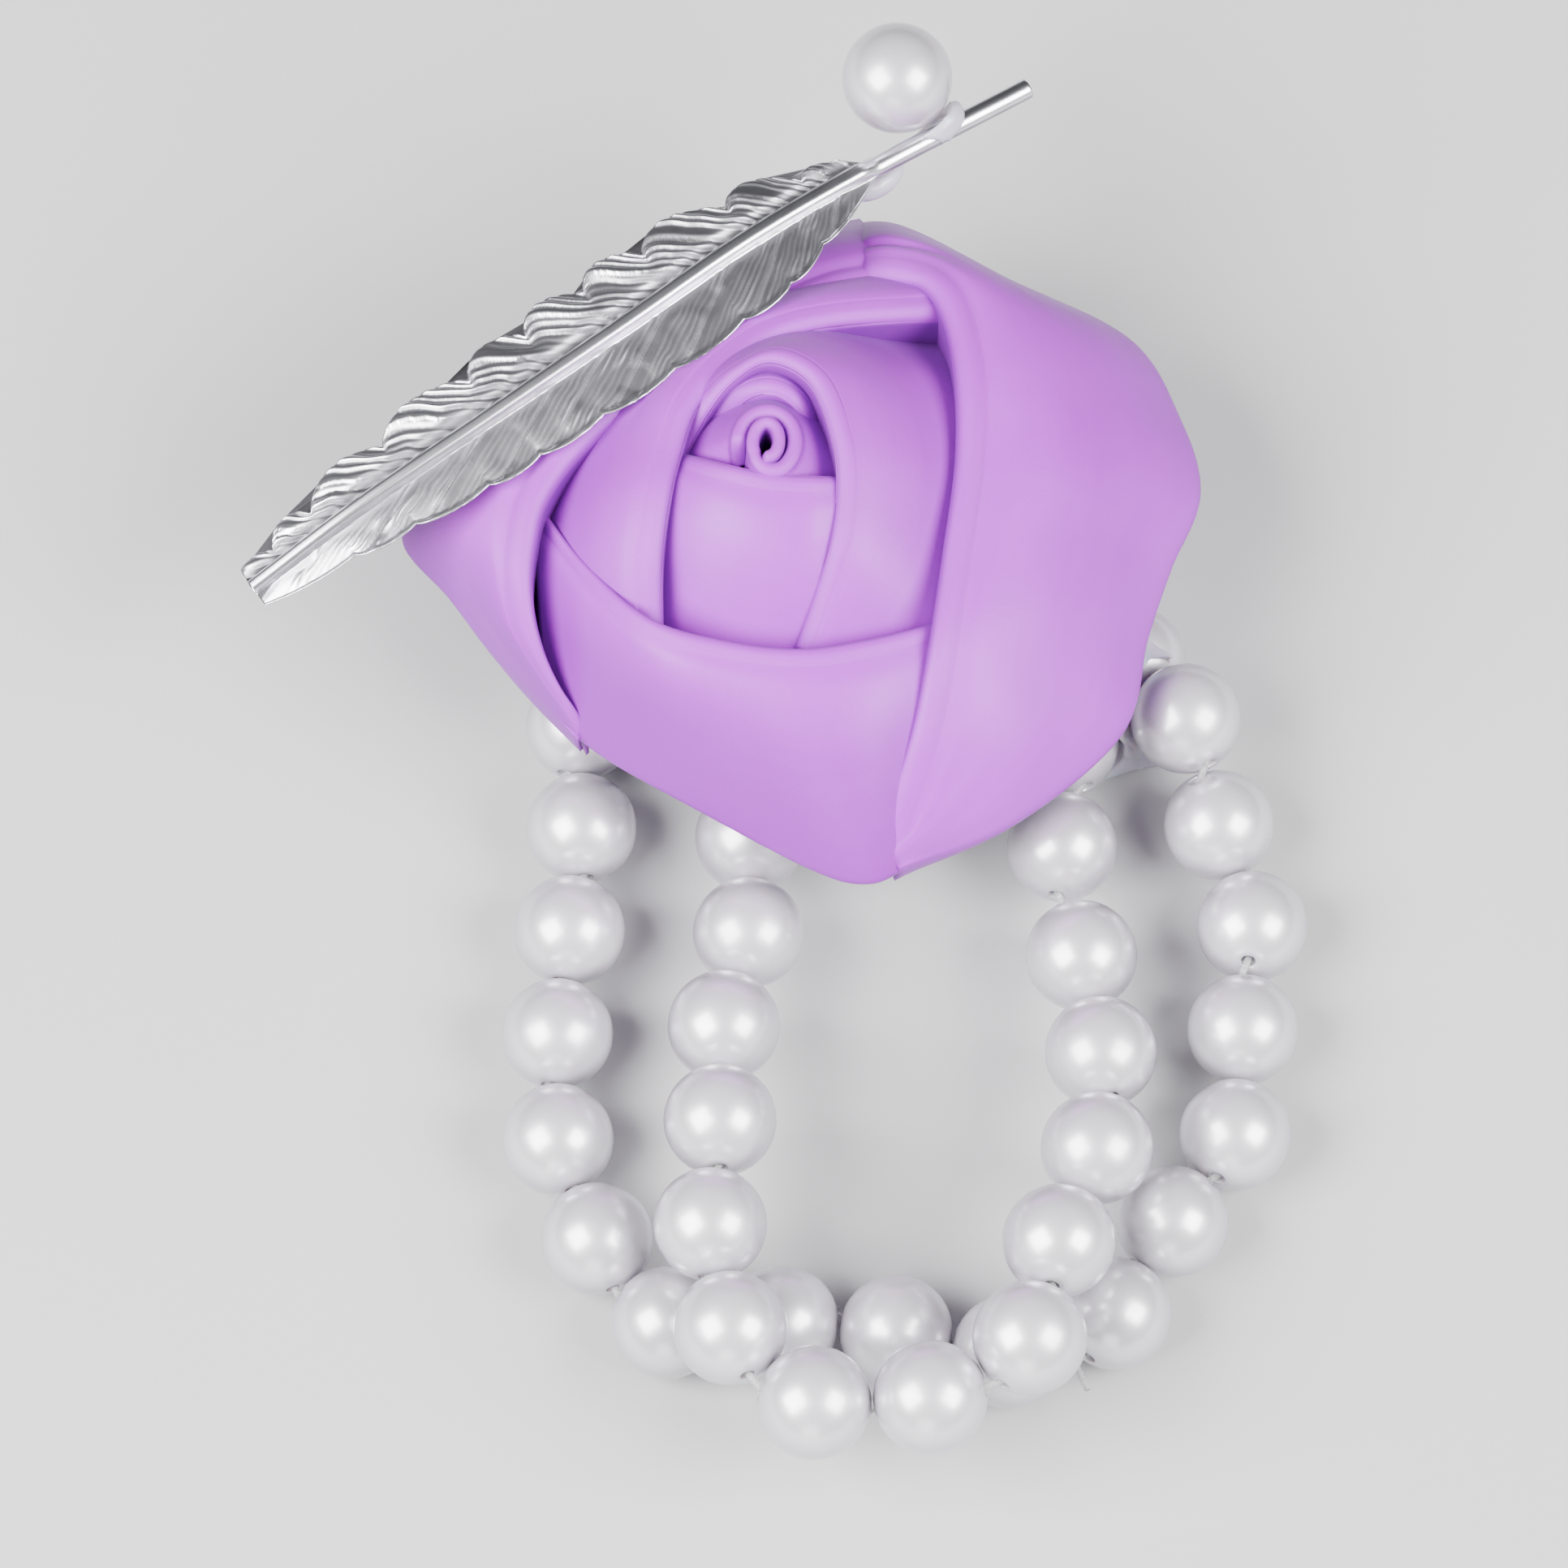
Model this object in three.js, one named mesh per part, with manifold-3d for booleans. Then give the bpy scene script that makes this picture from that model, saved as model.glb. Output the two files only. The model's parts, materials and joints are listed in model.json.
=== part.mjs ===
// A wrist corsage that lies on a table: two pearl strands on elastic, both caught in a bed of
// clear glue under a square plate, a rose folded from satin ribbon on the plate, and a cast
// feather across the rose with one more pearl on its quill.
// Millimetres, Z up, the wrist loops reach towards -Y. The origin is on the underside of the
// glue bed, under the middle of the rose.
import * as THREE from "three";
import { mergeVertices } from "three/addons/utils/BufferGeometryUtils.js";
import Module from "manifold-3d";

const wasm = await Module();
wasm.setup();

// Pearls and elastic
const pearlDiameter = 7.8;
const pearlGap = 0.2;
const pearlBore = 1.6;
const elasticDiameter = 0.6;
const elasticJointGap = 0.4;
const knotDiameter = 1.1;
const knotReach = 1.65;
const tailLength = 3.2;

// Glue bed and plate
const clearance = 0.3;
const glueCover = 1.6;
const glueEdgeRound = 1;
const plateSide = 28;
const plateThickness = 0.8;
const plateAngle = 58;

// Rose
const roseRadius = 28;
const roseHeight = 20;
const satinThickness = 0.8;
const foldRoll = 1;
const petalUnderturn = 3.6;
const coreRadius = 2.5;
const coreStretch = 0.5;
const coreHeight = 18.6;
const coreSkirtRadius = 6;
const coreSkirtDrop = 1.1;
const coreSkirtDepth = 8;

// Feather
const featherLength = 67;
const featherAngle = 214.5;
const vaneWidth = 5.2;
const vaneThickness = 0.7;
const quillDiameter = 1.5;
const rachisTipDiameter = 1;
const pearlGlueReach = 2.4;
const pearlGlueShift = 1.1;
const quillGlueLength = 5;

// Roundness of the solids
const looseSides = 10;
const looseArcs = 6;
const gluedSides = 8;
const gluedArcs = 4;
const elasticSides = 6;
const pocketSides = 10;
const pocketArcs = 6;
const settlePasses = 200;
const bendPasses = 20;
const foldStations = 12;
const coreStepsPerTurn = 16;
const coreSkirtSides = 16;
const barSteps = 14;
const barSides = 8;
const glueSides = 12;
const glueArcs = 8;
const pearlRoomSides = 16;
const pearlRoomArcs = 12;

const pearlRadius = pearlDiameter / 2;
const pearlPitch = pearlDiameter + pearlGap;
const plateBottom = pearlDiameter + glueCover;
const glueTop = plateBottom - clearance;
const roseBase = plateBottom + plateThickness + clearance;
const up = new THREE.Vector3(0, 0, 1);

const finish = {
  pearl: new THREE.MeshStandardMaterial({ color: 0xf0ebe3, roughness: 0.25, metalness: 0 }),
  elastic: new THREE.MeshStandardMaterial({ color: 0xe8e8e6, roughness: 0.35, metalness: 0 }),
  glue: new THREE.MeshStandardMaterial({ color: 0xc9c4cf, roughness: 0.3, metalness: 0 }),
  plate: new THREE.MeshStandardMaterial({ color: 0xdfe3e6, roughness: 0.12, metalness: 0 }),
  satin: new THREE.MeshStandardMaterial({ color: 0xcc99e0, roughness: 0.5, metalness: 0 }),
  silver: new THREE.MeshStandardMaterial({ color: 0xa9a49a, roughness: 0.38, metalness: 1 }),
};

const corsage = new THREE.Group();

function addPiece(name, geometry, material) {
  const piece = new THREE.Mesh(geometry, material);
  piece.name = name;
  corsage.add(piece);
  return piece;
}

// Joining and cutting

function solidOf(geometry) {
  const plain = geometry.clone();
  plain.deleteAttribute("normal");
  plain.deleteAttribute("uv");
  const merged = mergeVertices(plain);
  return new wasm.Manifold(
    new wasm.Mesh({
      numProp: 3,
      vertProperties: merged.attributes.position.array,
      triVerts: new Uint32Array(merged.index.array),
    }),
  );
}

function geometryOf(solid) {
  const mesh = solid.getMesh();
  const geometry = new THREE.BufferGeometry();
  geometry.setAttribute("position", new THREE.BufferAttribute(mesh.vertProperties, 3));
  geometry.setIndex(new THREE.BufferAttribute(mesh.triVerts, 1));
  geometry.computeVertexNormals();
  return geometry;
}

function largestBody(solid) {
  return solid.decompose().reduce((a, b) => (b.volume() > a.volume() ? b : a));
}

// A closed surface from rows of points and their faces, turned so that the faces look outwards.
function closedSurface(points, faces) {
  const volume = faces.reduce((sum, [a, b, c]) => {
    const across = new THREE.Vector3().crossVectors(points[b], points[c]);
    return sum + points[a].dot(across);
  }, 0);
  const index = faces.flatMap(([a, b, c]) => (volume > 0 ? [a, b, c] : [a, c, b]));
  const geometry = new THREE.BufferGeometry().setFromPoints(points);
  geometry.setIndex(index);
  geometry.computeVertexNormals();
  return geometry;
}

// A sheet with a thickness: its outer and inner faces are grids of points, row by row.
function thickSheet(outer, inner) {
  const rows = outer.length;
  const columns = outer[0].length;
  const points = [...outer.flat(), ...inner.flat()];
  const out = (row, column) => row * columns + column;
  const back = (row, column) => (rows + row) * columns + column;
  const faces = [];
  const quad = (a, b, c, d) => faces.push([a, b, c], [a, c, d]);
  for (let row = 0; row < rows - 1; row++) {
    for (let column = 0; column < columns - 1; column++) {
      quad(out(row, column), out(row + 1, column), out(row + 1, column + 1), out(row, column + 1));
      quad(back(row, column), back(row, column + 1), back(row + 1, column + 1), back(row + 1, column));
    }
    quad(out(row, 0), back(row, 0), back(row + 1, 0), out(row + 1, 0));
    const end = columns - 1;
    quad(out(row, end), out(row + 1, end), back(row + 1, end), back(row, end));
  }
  for (let column = 0; column < columns - 1; column++) {
    quad(out(0, column), out(0, column + 1), back(0, column + 1), back(0, column));
    const end = rows - 1;
    quad(out(end, column), back(end, column), back(end, column + 1), out(end, column + 1));
  }
  return closedSurface(points, faces);
}

// A round bar along a curve, with a radius that may change from end to end.
function taperedBar(curve, steps, sides, radiusAt) {
  const frames = curve.computeFrenetFrames(steps, false);
  const points = [];
  const faces = [];
  for (let step = 0; step <= steps; step++) {
    const along = step / steps;
    const middle = curve.getPointAt(along);
    for (let side = 0; side < sides; side++) {
      const angle = (side / sides) * Math.PI * 2;
      const radius = radiusAt(along);
      points.push(
        middle
          .clone()
          .addScaledVector(frames.normals[step], Math.cos(angle) * radius)
          .addScaledVector(frames.binormals[step], Math.sin(angle) * radius),
      );
    }
  }
  const ring = (step, side) => step * sides + (side % sides);
  for (let step = 0; step < steps; step++) {
    for (let side = 0; side < sides; side++) {
      faces.push([ring(step, side), ring(step + 1, side), ring(step + 1, side + 1)]);
      faces.push([ring(step, side), ring(step + 1, side + 1), ring(step, side + 1)]);
    }
  }
  for (let side = 1; side < sides - 1; side++) {
    faces.push([ring(0, 0), ring(0, side), ring(0, side + 1)]);
    faces.push([ring(steps, 0), ring(steps, side + 1), ring(steps, side)]);
  }
  return closedSurface(points, faces);
}

// Strands

// Where each strand runs, one point a pearl, as [x, y, height of the pearl above the table].
// The longer strand lies on the table, and the shorter one lies on it at the far end.
const backRoute = [
  [-15.7, -9.6, 0], [-15.9, -17.3, 0], [-16.6, -25.2, 0], [-17.3, -32.9, 0],
  [-17.1, -41.1, 0], [-14.4, -48.4, 0], [-9.1, -54.6, 0], [-1.2, -54.9, 0],
  [6.5, -55.6, 0], [14.2, -56.7, 0], [21.5, -54.1, 0], [26, -47.4, 0],
  [30.4, -40.9, 0], [31.3, -32.8, 0], [32, -24.7, 0], [29.8, -17, 0.7],
  [27.4, -10.4, 3.2], [23.8, -4.4, 0.5], [17.8, 1.1, 0], [10.5, 4.2, 0],
  [2.5, 4.5, 0], [-5.1, 2.1, 0], [-11.5, -2.8, 0],
];
const frontRoute = [
  [-3.7, -18.5, 1], [-3.9, -26.5, 2.3], [-5.5, -34.2, 3.7], [-5.8, -41.8, 5.3],
  [-6.3, -49.7, 5.9], [-4.9, -57.3, 6.4], [0.9, -62.9, 6.6], [8.9, -62.6, 7],
  [15.4, -58.5, 7.9], [17.8, -51.4, 6.8], [20.4, -44.1, 5.5], [21, -36.5, 4],
  [19.8, -28.2, 2.6], [18.6, -19.4, 1.6], [18.8, -11, 1], [12.6, -5.9, 0.5],
  [4.6, -5.8, 0.5], [-1.8, -10.7, 0.7],
];
const routePitch = 8;

// Pearls that the route puts closer than one pitch are pushed apart along the strand.
function settlePearls(route) {
  const size = pearlPitch / routePitch;
  const places = route.map(
    ([x, y, lift]) => new THREE.Vector3(x * size, y * size, pearlRadius + lift * size),
  );
  for (let pass = 0; pass < settlePasses; pass++) {
    places.forEach((place, i) => {
      const next = places[(i + 1) % places.length];
      const step = next.clone().sub(place);
      const short = Math.max(pearlPitch - step.length(), 0);
      step.setLength(short / 2);
      next.add(step);
      place.sub(step);
      place.z = Math.max(place.z, pearlRadius);
      next.z = Math.max(next.z, pearlRadius);
    });
  }
  return places;
}

// The elastic runs straight through each bore and bends in the gap between two pearls. The bends
// are moved in their gaps until each pearl's middle lies on the line between its two bends.
function threadBends(places) {
  const count = places.length;
  const steps = places.map((place, i) => places[(i + 1) % count].clone().sub(place));
  const middles = places.map((place, i) => place.clone().addScaledVector(steps[i], 0.5));
  let bends = middles;
  // Where the line from one bend through a pearl meets the gap on the pearl's other side
  const through = (bend, place, gap) => {
    const line = place.clone().sub(bend);
    const reach = middles[gap].clone().sub(place).dot(steps[gap]) / line.dot(steps[gap]);
    return place.clone().addScaledVector(line, reach);
  };
  for (let pass = 0; pass < bendPasses; pass++) {
    bends = bends.map((bend, i) => {
      const next = (i + 1) % count;
      const fromBefore = through(bends.at(i - 1), places[i], i);
      const fromAfter = through(bends[next], places[next], i);
      return bend.clone().lerp(fromBefore.lerp(fromAfter, 0.5), 0.5);
    });
  }
  return bends;
}

function boreDirections(bends) {
  return bends.map((bend, i) => bend.clone().sub(bends.at(i - 1)).normalize());
}

class ThreadPath extends THREE.Curve {
  constructor(points) {
    super();
    this.points = points;
  }

  getPoint(t) {
    const along = t * (this.points.length - 1);
    const i = Math.min(Math.floor(along), this.points.length - 2);
    return this.points[i].clone().lerp(this.points[i + 1], along - i);
  }

  getPointAt(t) {
    return this.getPoint(t);
  }

  getTangentAt(t) {
    const last = this.points.length - 1;
    const i = Math.round(t * last);
    const direction = new THREE.Vector3();
    if (i > 0) direction.add(this.points[i].clone().sub(this.points[i - 1]).normalize());
    if (i < last) direction.add(this.points[i + 1].clone().sub(this.points[i]).normalize());
    return direction.normalize();
  }
}

function pearlGeometry(sides, arcs) {
  const mouth = Math.asin(pearlBore / pearlDiameter);
  const profile = [];
  for (let arc = 0; arc <= arcs; arc++) {
    const angle = mouth + ((Math.PI - mouth * 2) * arc) / arcs;
    profile.push(new THREE.Vector2(Math.sin(angle) * pearlRadius, -Math.cos(angle) * pearlRadius));
  }
  profile.push(profile[0].clone());
  return new THREE.LatheGeometry(profile, sides);
}

const loosePearl = pearlGeometry(looseSides, looseArcs);
const gluedPearl = pearlGeometry(gluedSides, gluedArcs);

function elasticSection(radius) {
  const section = new THREE.Shape();
  for (let side = 0; side < elasticSides; side++) {
    const angle = (side / elasticSides) * Math.PI * 2;
    const x = Math.cos(angle) * radius;
    const y = Math.sin(angle) * radius;
    if (side === 0) section.moveTo(x, y);
    else section.lineTo(x, y);
  }
  section.closePath();
  return section;
}

function elasticAlong(points, extra) {
  return solidOf(
    new THREE.ExtrudeGeometry(elasticSection(elasticDiameter / 2 + extra), {
      steps: points.length - 1,
      extrudePath: new ThreadPath(points),
      bevelEnabled: false,
    }),
  );
}

// The knot sits in the wedge between two pearls, on the outer side of the bend. Its neck is
// pinched where the pearls nearly touch, and the cut tail stands out of it.
function knotAt(bend, outward, extra) {
  const neckRadius = elasticDiameter / 6 + extra;
  const knotPlace = bend.clone().addScaledVector(outward, knotReach);
  const tailEnd = knotPlace.clone().addScaledVector(outward, tailLength);
  const neck = taperedBar(
    new THREE.LineCurve3(bend, knotPlace),
    1,
    elasticSides,
    (along) => neckRadius * (1 + along),
  );
  const tail = taperedBar(
    new THREE.LineCurve3(knotPlace, tailEnd),
    1,
    elasticSides,
    () => elasticDiameter / 2 + extra,
  );
  const knot = new THREE.IcosahedronGeometry(knotDiameter / 2 + extra, 1);
  knot.translate(knotPlace.x, knotPlace.y, knotPlace.z);
  return solidOf(neck).add(solidOf(tail)).add(solidOf(knot));
}

// Makes one strand. The pearls from firstLoose to lastLoose lie free and the others are in the
// glue. The elastic is parted between the first and second free pearl at either end, where the
// loop lifts. All three counts are places in the route.
function makeStrand(name, route, { firstLoose, lastLoose, knotAfter }) {
  const places = settlePearls(route);
  const bends = threadBends(places);
  const bores = boreDirections(bends);
  const count = places.length;
  places.forEach((place, i) => {
    const loose = i >= firstLoose && i <= lastLoose;
    const number = String(i + 1).padStart(2, "0");
    const pearl = addPiece(`${name}_pearl_${number}`, loose ? loosePearl : gluedPearl, finish.pearl);
    pearl.position.copy(place);
    pearl.quaternion.setFromUnitVectors(new THREE.Vector3(0, 1, 0), bores[i]);
  });
  const half = elasticJointGap / 2;
  const loopPoints = [
    bends[firstLoose].clone().addScaledVector(bores[firstLoose + 1], half),
    ...bends.slice(firstLoose + 1, lastLoose - 1),
    bends[lastLoose - 1].clone().addScaledVector(bores[lastLoose - 1], -half),
  ];
  const gluedPoints = [bends[lastLoose - 1].clone().addScaledVector(bores[lastLoose], half)];
  for (let i = lastLoose; i < count + firstLoose; i++) gluedPoints.push(bends[i % count]);
  gluedPoints.push(bends[firstLoose].clone().addScaledVector(bores[firstLoose], -half));
  const outward = bends[knotAfter]
    .clone()
    .sub(places[knotAfter])
    .add(bends[knotAfter].clone().sub(places[(knotAfter + 1) % count]))
    .setZ(0)
    .normalize();
  const knot = knotAt(bends[knotAfter], outward, 0);
  const knotInLoop = knotAfter > firstLoose && knotAfter < lastLoose - 1;
  const loop = elasticAlong(loopPoints, 0);
  const glued = elasticAlong(gluedPoints, 0);
  const loopSolid = knotInLoop ? loop.add(knot) : loop;
  const gluedSolid = knotInLoop ? glued : glued.add(knot);
  addPiece(`${name}_elastic_loop`, geometryOf(loopSolid), finish.elastic);
  addPiece(`${name}_elastic_glued`, geometryOf(gluedSolid), finish.elastic);
  const caught = places.filter((_, i) => i < firstLoose || i > lastLoose);
  const knotRoom = knotAt(bends[knotAfter], outward, clearance);
  const threadRoom = elasticAlong(gluedPoints, clearance);
  return { caught, room: knotInLoop ? threadRoom : threadRoom.add(knotRoom) };
}

const backStrand = makeStrand("back", backRoute, { firstLoose: 1, lastLoose: 15, knotAfter: 9 });
const frontStrand = makeStrand("front", frontRoute, { firstLoose: 0, lastLoose: 13, knotAfter: 15 });

// Glue bed and plate

// The blob's outline from above, in pearl pitches, anticlockwise from the lower left.
const glueOutlineShares = [
  [-2.15, -1.05], [-1.75, -1.24], [-1.15, -1.48], [-0.3, -1.68], [0.5, -1.48], [1.5, -1.44],
  [2.4, -1.72], [3.1, -1.46], [3.62, -1.42], [3.68, -0.9], [3.4, -0.4], [2.95, 0.45],
  [1.7, 1.16], [0.2, 1.38], [-1.2, 1.14], [-2.1, 0.4], [-2.35, -0.4],
];

function makeGlueBed() {
  const edge = new THREE.SplineCurve(
    glueOutlineShares
      .concat([glueOutlineShares[0]])
      .map(([x, y]) => new THREE.Vector2(x * pearlPitch, y * pearlPitch)),
  );
  const outline = new THREE.Shape(edge.getPoints(glueOutlineShares.length).slice(0, -1));
  const blob = new THREE.ExtrudeGeometry(outline, {
    depth: glueTop - glueEdgeRound * 2,
    bevelThickness: glueEdgeRound,
    bevelSize: glueEdgeRound,
    bevelOffset: -glueEdgeRound,
    bevelSegments: 1,
  });
  blob.translate(0, 0, glueEdgeRound);
  const facetLoss = Math.cos(Math.PI / pocketSides) * Math.cos(Math.PI / pocketArcs / 2);
  const pocketRadius = (pearlRadius + clearance) / facetLoss;
  let bed = solidOf(blob);
  for (const place of [...backStrand.caught, ...frontStrand.caught]) {
    const pocket = new THREE.SphereGeometry(pocketRadius, pocketSides, pocketArcs);
    pocket.rotateX(Math.PI / 2);
    pocket.translate(place.x, place.y, place.z);
    bed = bed.subtract(solidOf(pocket));
  }
  bed = bed.subtract(backStrand.room).subtract(frontStrand.room);
  addPiece("glue_bed", geometryOf(largestBody(bed)), finish.glue);
}
makeGlueBed();

// The plate's middle, in shares of its side from the rose's middle.
const plateMiddleShares = [0.246, -0.036];

function makePlate() {
  const plate = addPiece(
    "backing_plate",
    new THREE.BoxGeometry(plateSide, plateSide, plateThickness),
    finish.plate,
  );
  plate.rotation.z = THREE.MathUtils.degToRad(plateAngle);
  plate.position.set(
    plateMiddleShares[0] * plateSide,
    plateMiddleShares[1] * plateSide,
    plateBottom + plateThickness / 2,
  );
}
makePlate();

// Rose

// Each fold of the ribbon is drawn by two lines: the rolled lip, and the rim that its skirt
// falls to. Points are [x, y] in shares of the rose's radius and z in shares of its height.
// The roll is given in shares of foldRoll, and the bulge says how late the skirt falls away.
// The folds run from the innermost to the outermost, and each is tucked under the next ones.
const foldShares = [
  {
    rollShare: 0.5, bulge: 1,
    lip: [[-0.24, 0.15, 0.64], [-0.2, 0.19, 0.75], [-0.14, 0.215, 0.83], [-0.065, 0.225, 0.87],
      [0.01, 0.2, 0.865], [0.06, 0.13, 0.82], [0.08, 0.03, 0.76]],
    rim: [[-0.44, 0.14, 0.5], [-0.4, 0.36, 0.55], [-0.08, 0.5, 0.55], [0.19, 0.4, 0.55],
      [0.24, 0.1, 0.5]],
  },
  {
    rollShare: 0.55, bulge: 1.7,
    lip: [[-0.33, 0.09, 0.7], [-0.26, 0.03, 0.81], [-0.18, -0.015, 0.87], [-0.08, -0.045, 0.89],
      [0.03, -0.05, 0.885], [0.12, -0.03, 0.82]],
    rim: [[-0.5, 0.06, 0.45], [-0.41, -0.27, 0.42], [-0.22, -0.44, 0.4], [0, -0.46, 0.4],
      [0.2, -0.28, 0.45]],
  },
  {
    rollShare: 0.6, bulge: 1.1,
    lip: [[-0.31, 0.11, 0.66], [-0.245, 0.19, 0.76], [-0.17, 0.25, 0.85], [-0.07, 0.29, 0.93],
      [0.04, 0.22, 0.94], [0.1, 0.06, 0.92], [0.11, -0.07, 0.88], [0.09, -0.2, 0.82],
      [0.05, -0.3, 0.71], [0, -0.41, 0.57]],
    rim: [[-0.48, 0.34, 0.45], [-0.36, 0.5, 0.4], [-0.1, 0.62, 0.35], [0.21, 0.6, 0.35],
      [0.5, 0.42, 0.38], [0.6, 0.15, 0.42], [0.58, -0.1, 0.42], [0.5, -0.34, 0.38],
      [0.3, -0.5, 0.33], [0.16, -0.56, 0.3]],
  },
  {
    rollShare: 0.75, bulge: 1.35,
    lip: [[0.4, 0.55, 0.58], [0.25, 0.51, 0.68], [0.06, 0.47, 0.74], [-0.09, 0.41, 0.78],
      [-0.21, 0.31, 0.8], [-0.29, 0.2, 0.82], [-0.33, 0.08, 0.82], [-0.36, -0.06, 0.82],
      [-0.38, -0.21, 0.74], [-0.38, -0.36, 0.6]],
    rim: [[0.46, 0.8, 0.3], [0.21, 0.78, 0.33], [-0.08, 0.7, 0.35], [-0.38, 0.55, 0.33],
      [-0.6, 0.35, 0.3], [-0.72, 0.1, 0.26], [-0.74, -0.14, 0.24], [-0.6, -0.4, 0.22]],
  },
  {
    rollShare: 0.6, bulge: 1.7,
    lip: [[0.44, -0.3, 0.53], [0.31, -0.38, 0.64], [0.16, -0.44, 0.7], [0, -0.47, 0.72],
      [-0.18, -0.45, 0.72], [-0.38, -0.38, 0.7], [-0.53, -0.21, 0.63], [-0.64, -0.04, 0.58]],
    rim: [[0.5, -0.72, 0.17], [0.27, -0.86, 0.19], [0.16, -0.91, 0.2], [0.02, -0.87, 0.2],
      [-0.28, -0.7, 0.2], [-0.52, -0.54, 0.19], [-0.68, -0.43, 0.18]],
    underturn: true,
  },
  {
    rollShare: 0.85, bulge: 1.7,
    lip: [[-0.5, -0.46, 0.32], [-0.58, -0.38, 0.42], [-0.63, -0.31, 0.52], [-0.67, -0.23, 0.59],
      [-0.7, -0.12, 0.64], [-0.67, -0.01, 0.68], [-0.59, 0.12, 0.68], [-0.46, 0.25, 0.68],
      [-0.29, 0.38, 0.67], [-0.12, 0.49, 0.66], [0.07, 0.6, 0.61], [0.21, 0.65, 0.55]],
    rim: [[-0.58, -0.49, 0.2], [-0.69, -0.36, 0.2], [-0.8, -0.24, 0.2], [-0.9, -0.12, 0.2],
      [-1.01, 0.02, 0.2], [-0.97, 0.15, 0.2], [-0.84, 0.29, 0.2], [-0.62, 0.49, 0.2],
      [-0.42, 0.64, 0.2], [-0.2, 0.79, 0.2], [0, 0.9, 0.2], [0.15, 0.94, 0.2]],
    underturn: true,
  },
  {
    rollShare: 0.9, bulge: 1.7,
    lip: [[0.13, 0.66, 0.54], [0.22, 0.65, 0.61], [0.33, 0.6, 0.67], [0.39, 0.49, 0.7],
      [0.42, 0.3, 0.74], [0.42, 0.08, 0.74], [0.39, -0.15, 0.73], [0.35, -0.41, 0.7],
      [0.31, -0.6, 0.58], [0.26, -0.74, 0.43], [0.21, -0.845, 0.28]],
    rim: [[0.11, 0.92, 0.2], [0.27, 0.91, 0.2], [0.57, 0.74, 0.2], [0.84, 0.58, 0.2],
      [0.96, 0.38, 0.2], [1.01, 0.16, 0.2], [0.93, -0.05, 0.2], [0.89, -0.25, 0.2],
      [0.82, -0.52, 0.2], [0.52, -0.76, 0.2], [0.26, -0.885, 0.2]],
    underturn: true,
  },
];

function foldLine(shares) {
  return new THREE.CatmullRomCurve3(
    shares.map(
      ([x, y, z]) =>
        new THREE.Vector3(x * roseRadius, y * roseRadius, roseBase + z * roseHeight),
    ),
    false,
    "catmullrom",
    0.5,
  );
}

// One cut through a fold, as [distance out from the lip, height]: up the inner wall, over the
// roll, down the bulged skirt to the rim, and back under the rose on an outer petal.
const footShare = 0.12;
const rollShares = [[-1, 1], [-0.7, 0.3], [0, 0], [0.8, 0.2]];
const shoulderShare = 0.4;
const skirtShares = [0.28, 0.55, 0.8, 1];
const turnShares = [[0.35, 0.5], [1, 0.84]];

function foldSection(lip, rim, { rollShare, bulge, underturn }) {
  const width = Math.hypot(rim.x - lip.x, rim.y - lip.y);
  const roll = Math.min(foldRoll * rollShare, width / 4);
  const foot = roseBase + (lip.z - roseBase) * footShare;
  const shoulder = lip.z - roll * shoulderShare;
  const line = [[-roll, foot]];
  for (const [outShare, downShare] of rollShares) {
    line.push([roll * outShare, lip.z - roll * downShare]);
  }
  for (const share of skirtShares) {
    line.push([
      roll + (width - roll) * share,
      shoulder - (shoulder - rim.z) * share ** bulge,
    ]);
  }
  if (underturn) {
    const reach = Math.min(petalUnderturn, width / 3);
    const drop = rim.z - roseBase - satinThickness / 2;
    for (const [inShare, downShare] of turnShares) {
      line.push([width - reach * inShare, rim.z - drop * downShare]);
    }
  }
  return line;
}

// The two faces of a bent sheet, half its thickness to either side of its middle line.
function sheetFaces(line, half) {
  const faces = [[], []];
  line.forEach(([s, z], i) => {
    const before = line[Math.max(i - 1, 0)];
    const after = line[Math.min(i + 1, line.length - 1)];
    const slope = new THREE.Vector2(after[0] - before[0], after[1] - before[1]).normalize();
    const ends = (i === line.length - 1 ? 1 : 0) - (i === 0 ? 1 : 0);
    const shift = ends * (half - satinThickness / 2);
    faces.forEach((face, side) => {
      const sign = side === 0 ? 1 : -1;
      face.push([
        s + slope.x * shift - slope.y * half * sign,
        z + slope.y * shift + slope.x * half * sign,
      ]);
    });
  });
  return faces;
}

// The fold as a solid, thicker by the extra on every side.
function foldSolid(fold, extra) {
  const lipLine = foldLine(fold.lip);
  const rimLine = foldLine(fold.rim);
  const half = satinThickness / 2 + extra;
  const outer = [];
  const inner = [];
  for (let station = 0; station < foldStations; station++) {
    const t = station / (foldStations - 1);
    const lipPoint = lipLine.getPoint(t);
    const rimPoint = rimLine.getPoint(t);
    const out = rimPoint.clone().sub(lipPoint).setZ(0).normalize();
    const along = new THREE.Vector3().crossVectors(up, out);
    const sideways = lipLine.getTangent(t).dot(along) > 0 ? 1 : -1;
    const ends = (station === foldStations - 1 ? 1 : 0) - (station === 0 ? 1 : 0);
    const shift = along.multiplyScalar(ends * extra * sideways);
    const faces = sheetFaces(foldSection(lipPoint, rimPoint, fold), half);
    const place = ([s, z]) =>
      new THREE.Vector3(lipPoint.x, lipPoint.y, z).addScaledVector(out, s).add(shift);
    outer.push(faces[0].map(place));
    inner.push(faces[1].map(place));
  }
  return solidOf(thickSheet(outer, inner));
}

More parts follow.
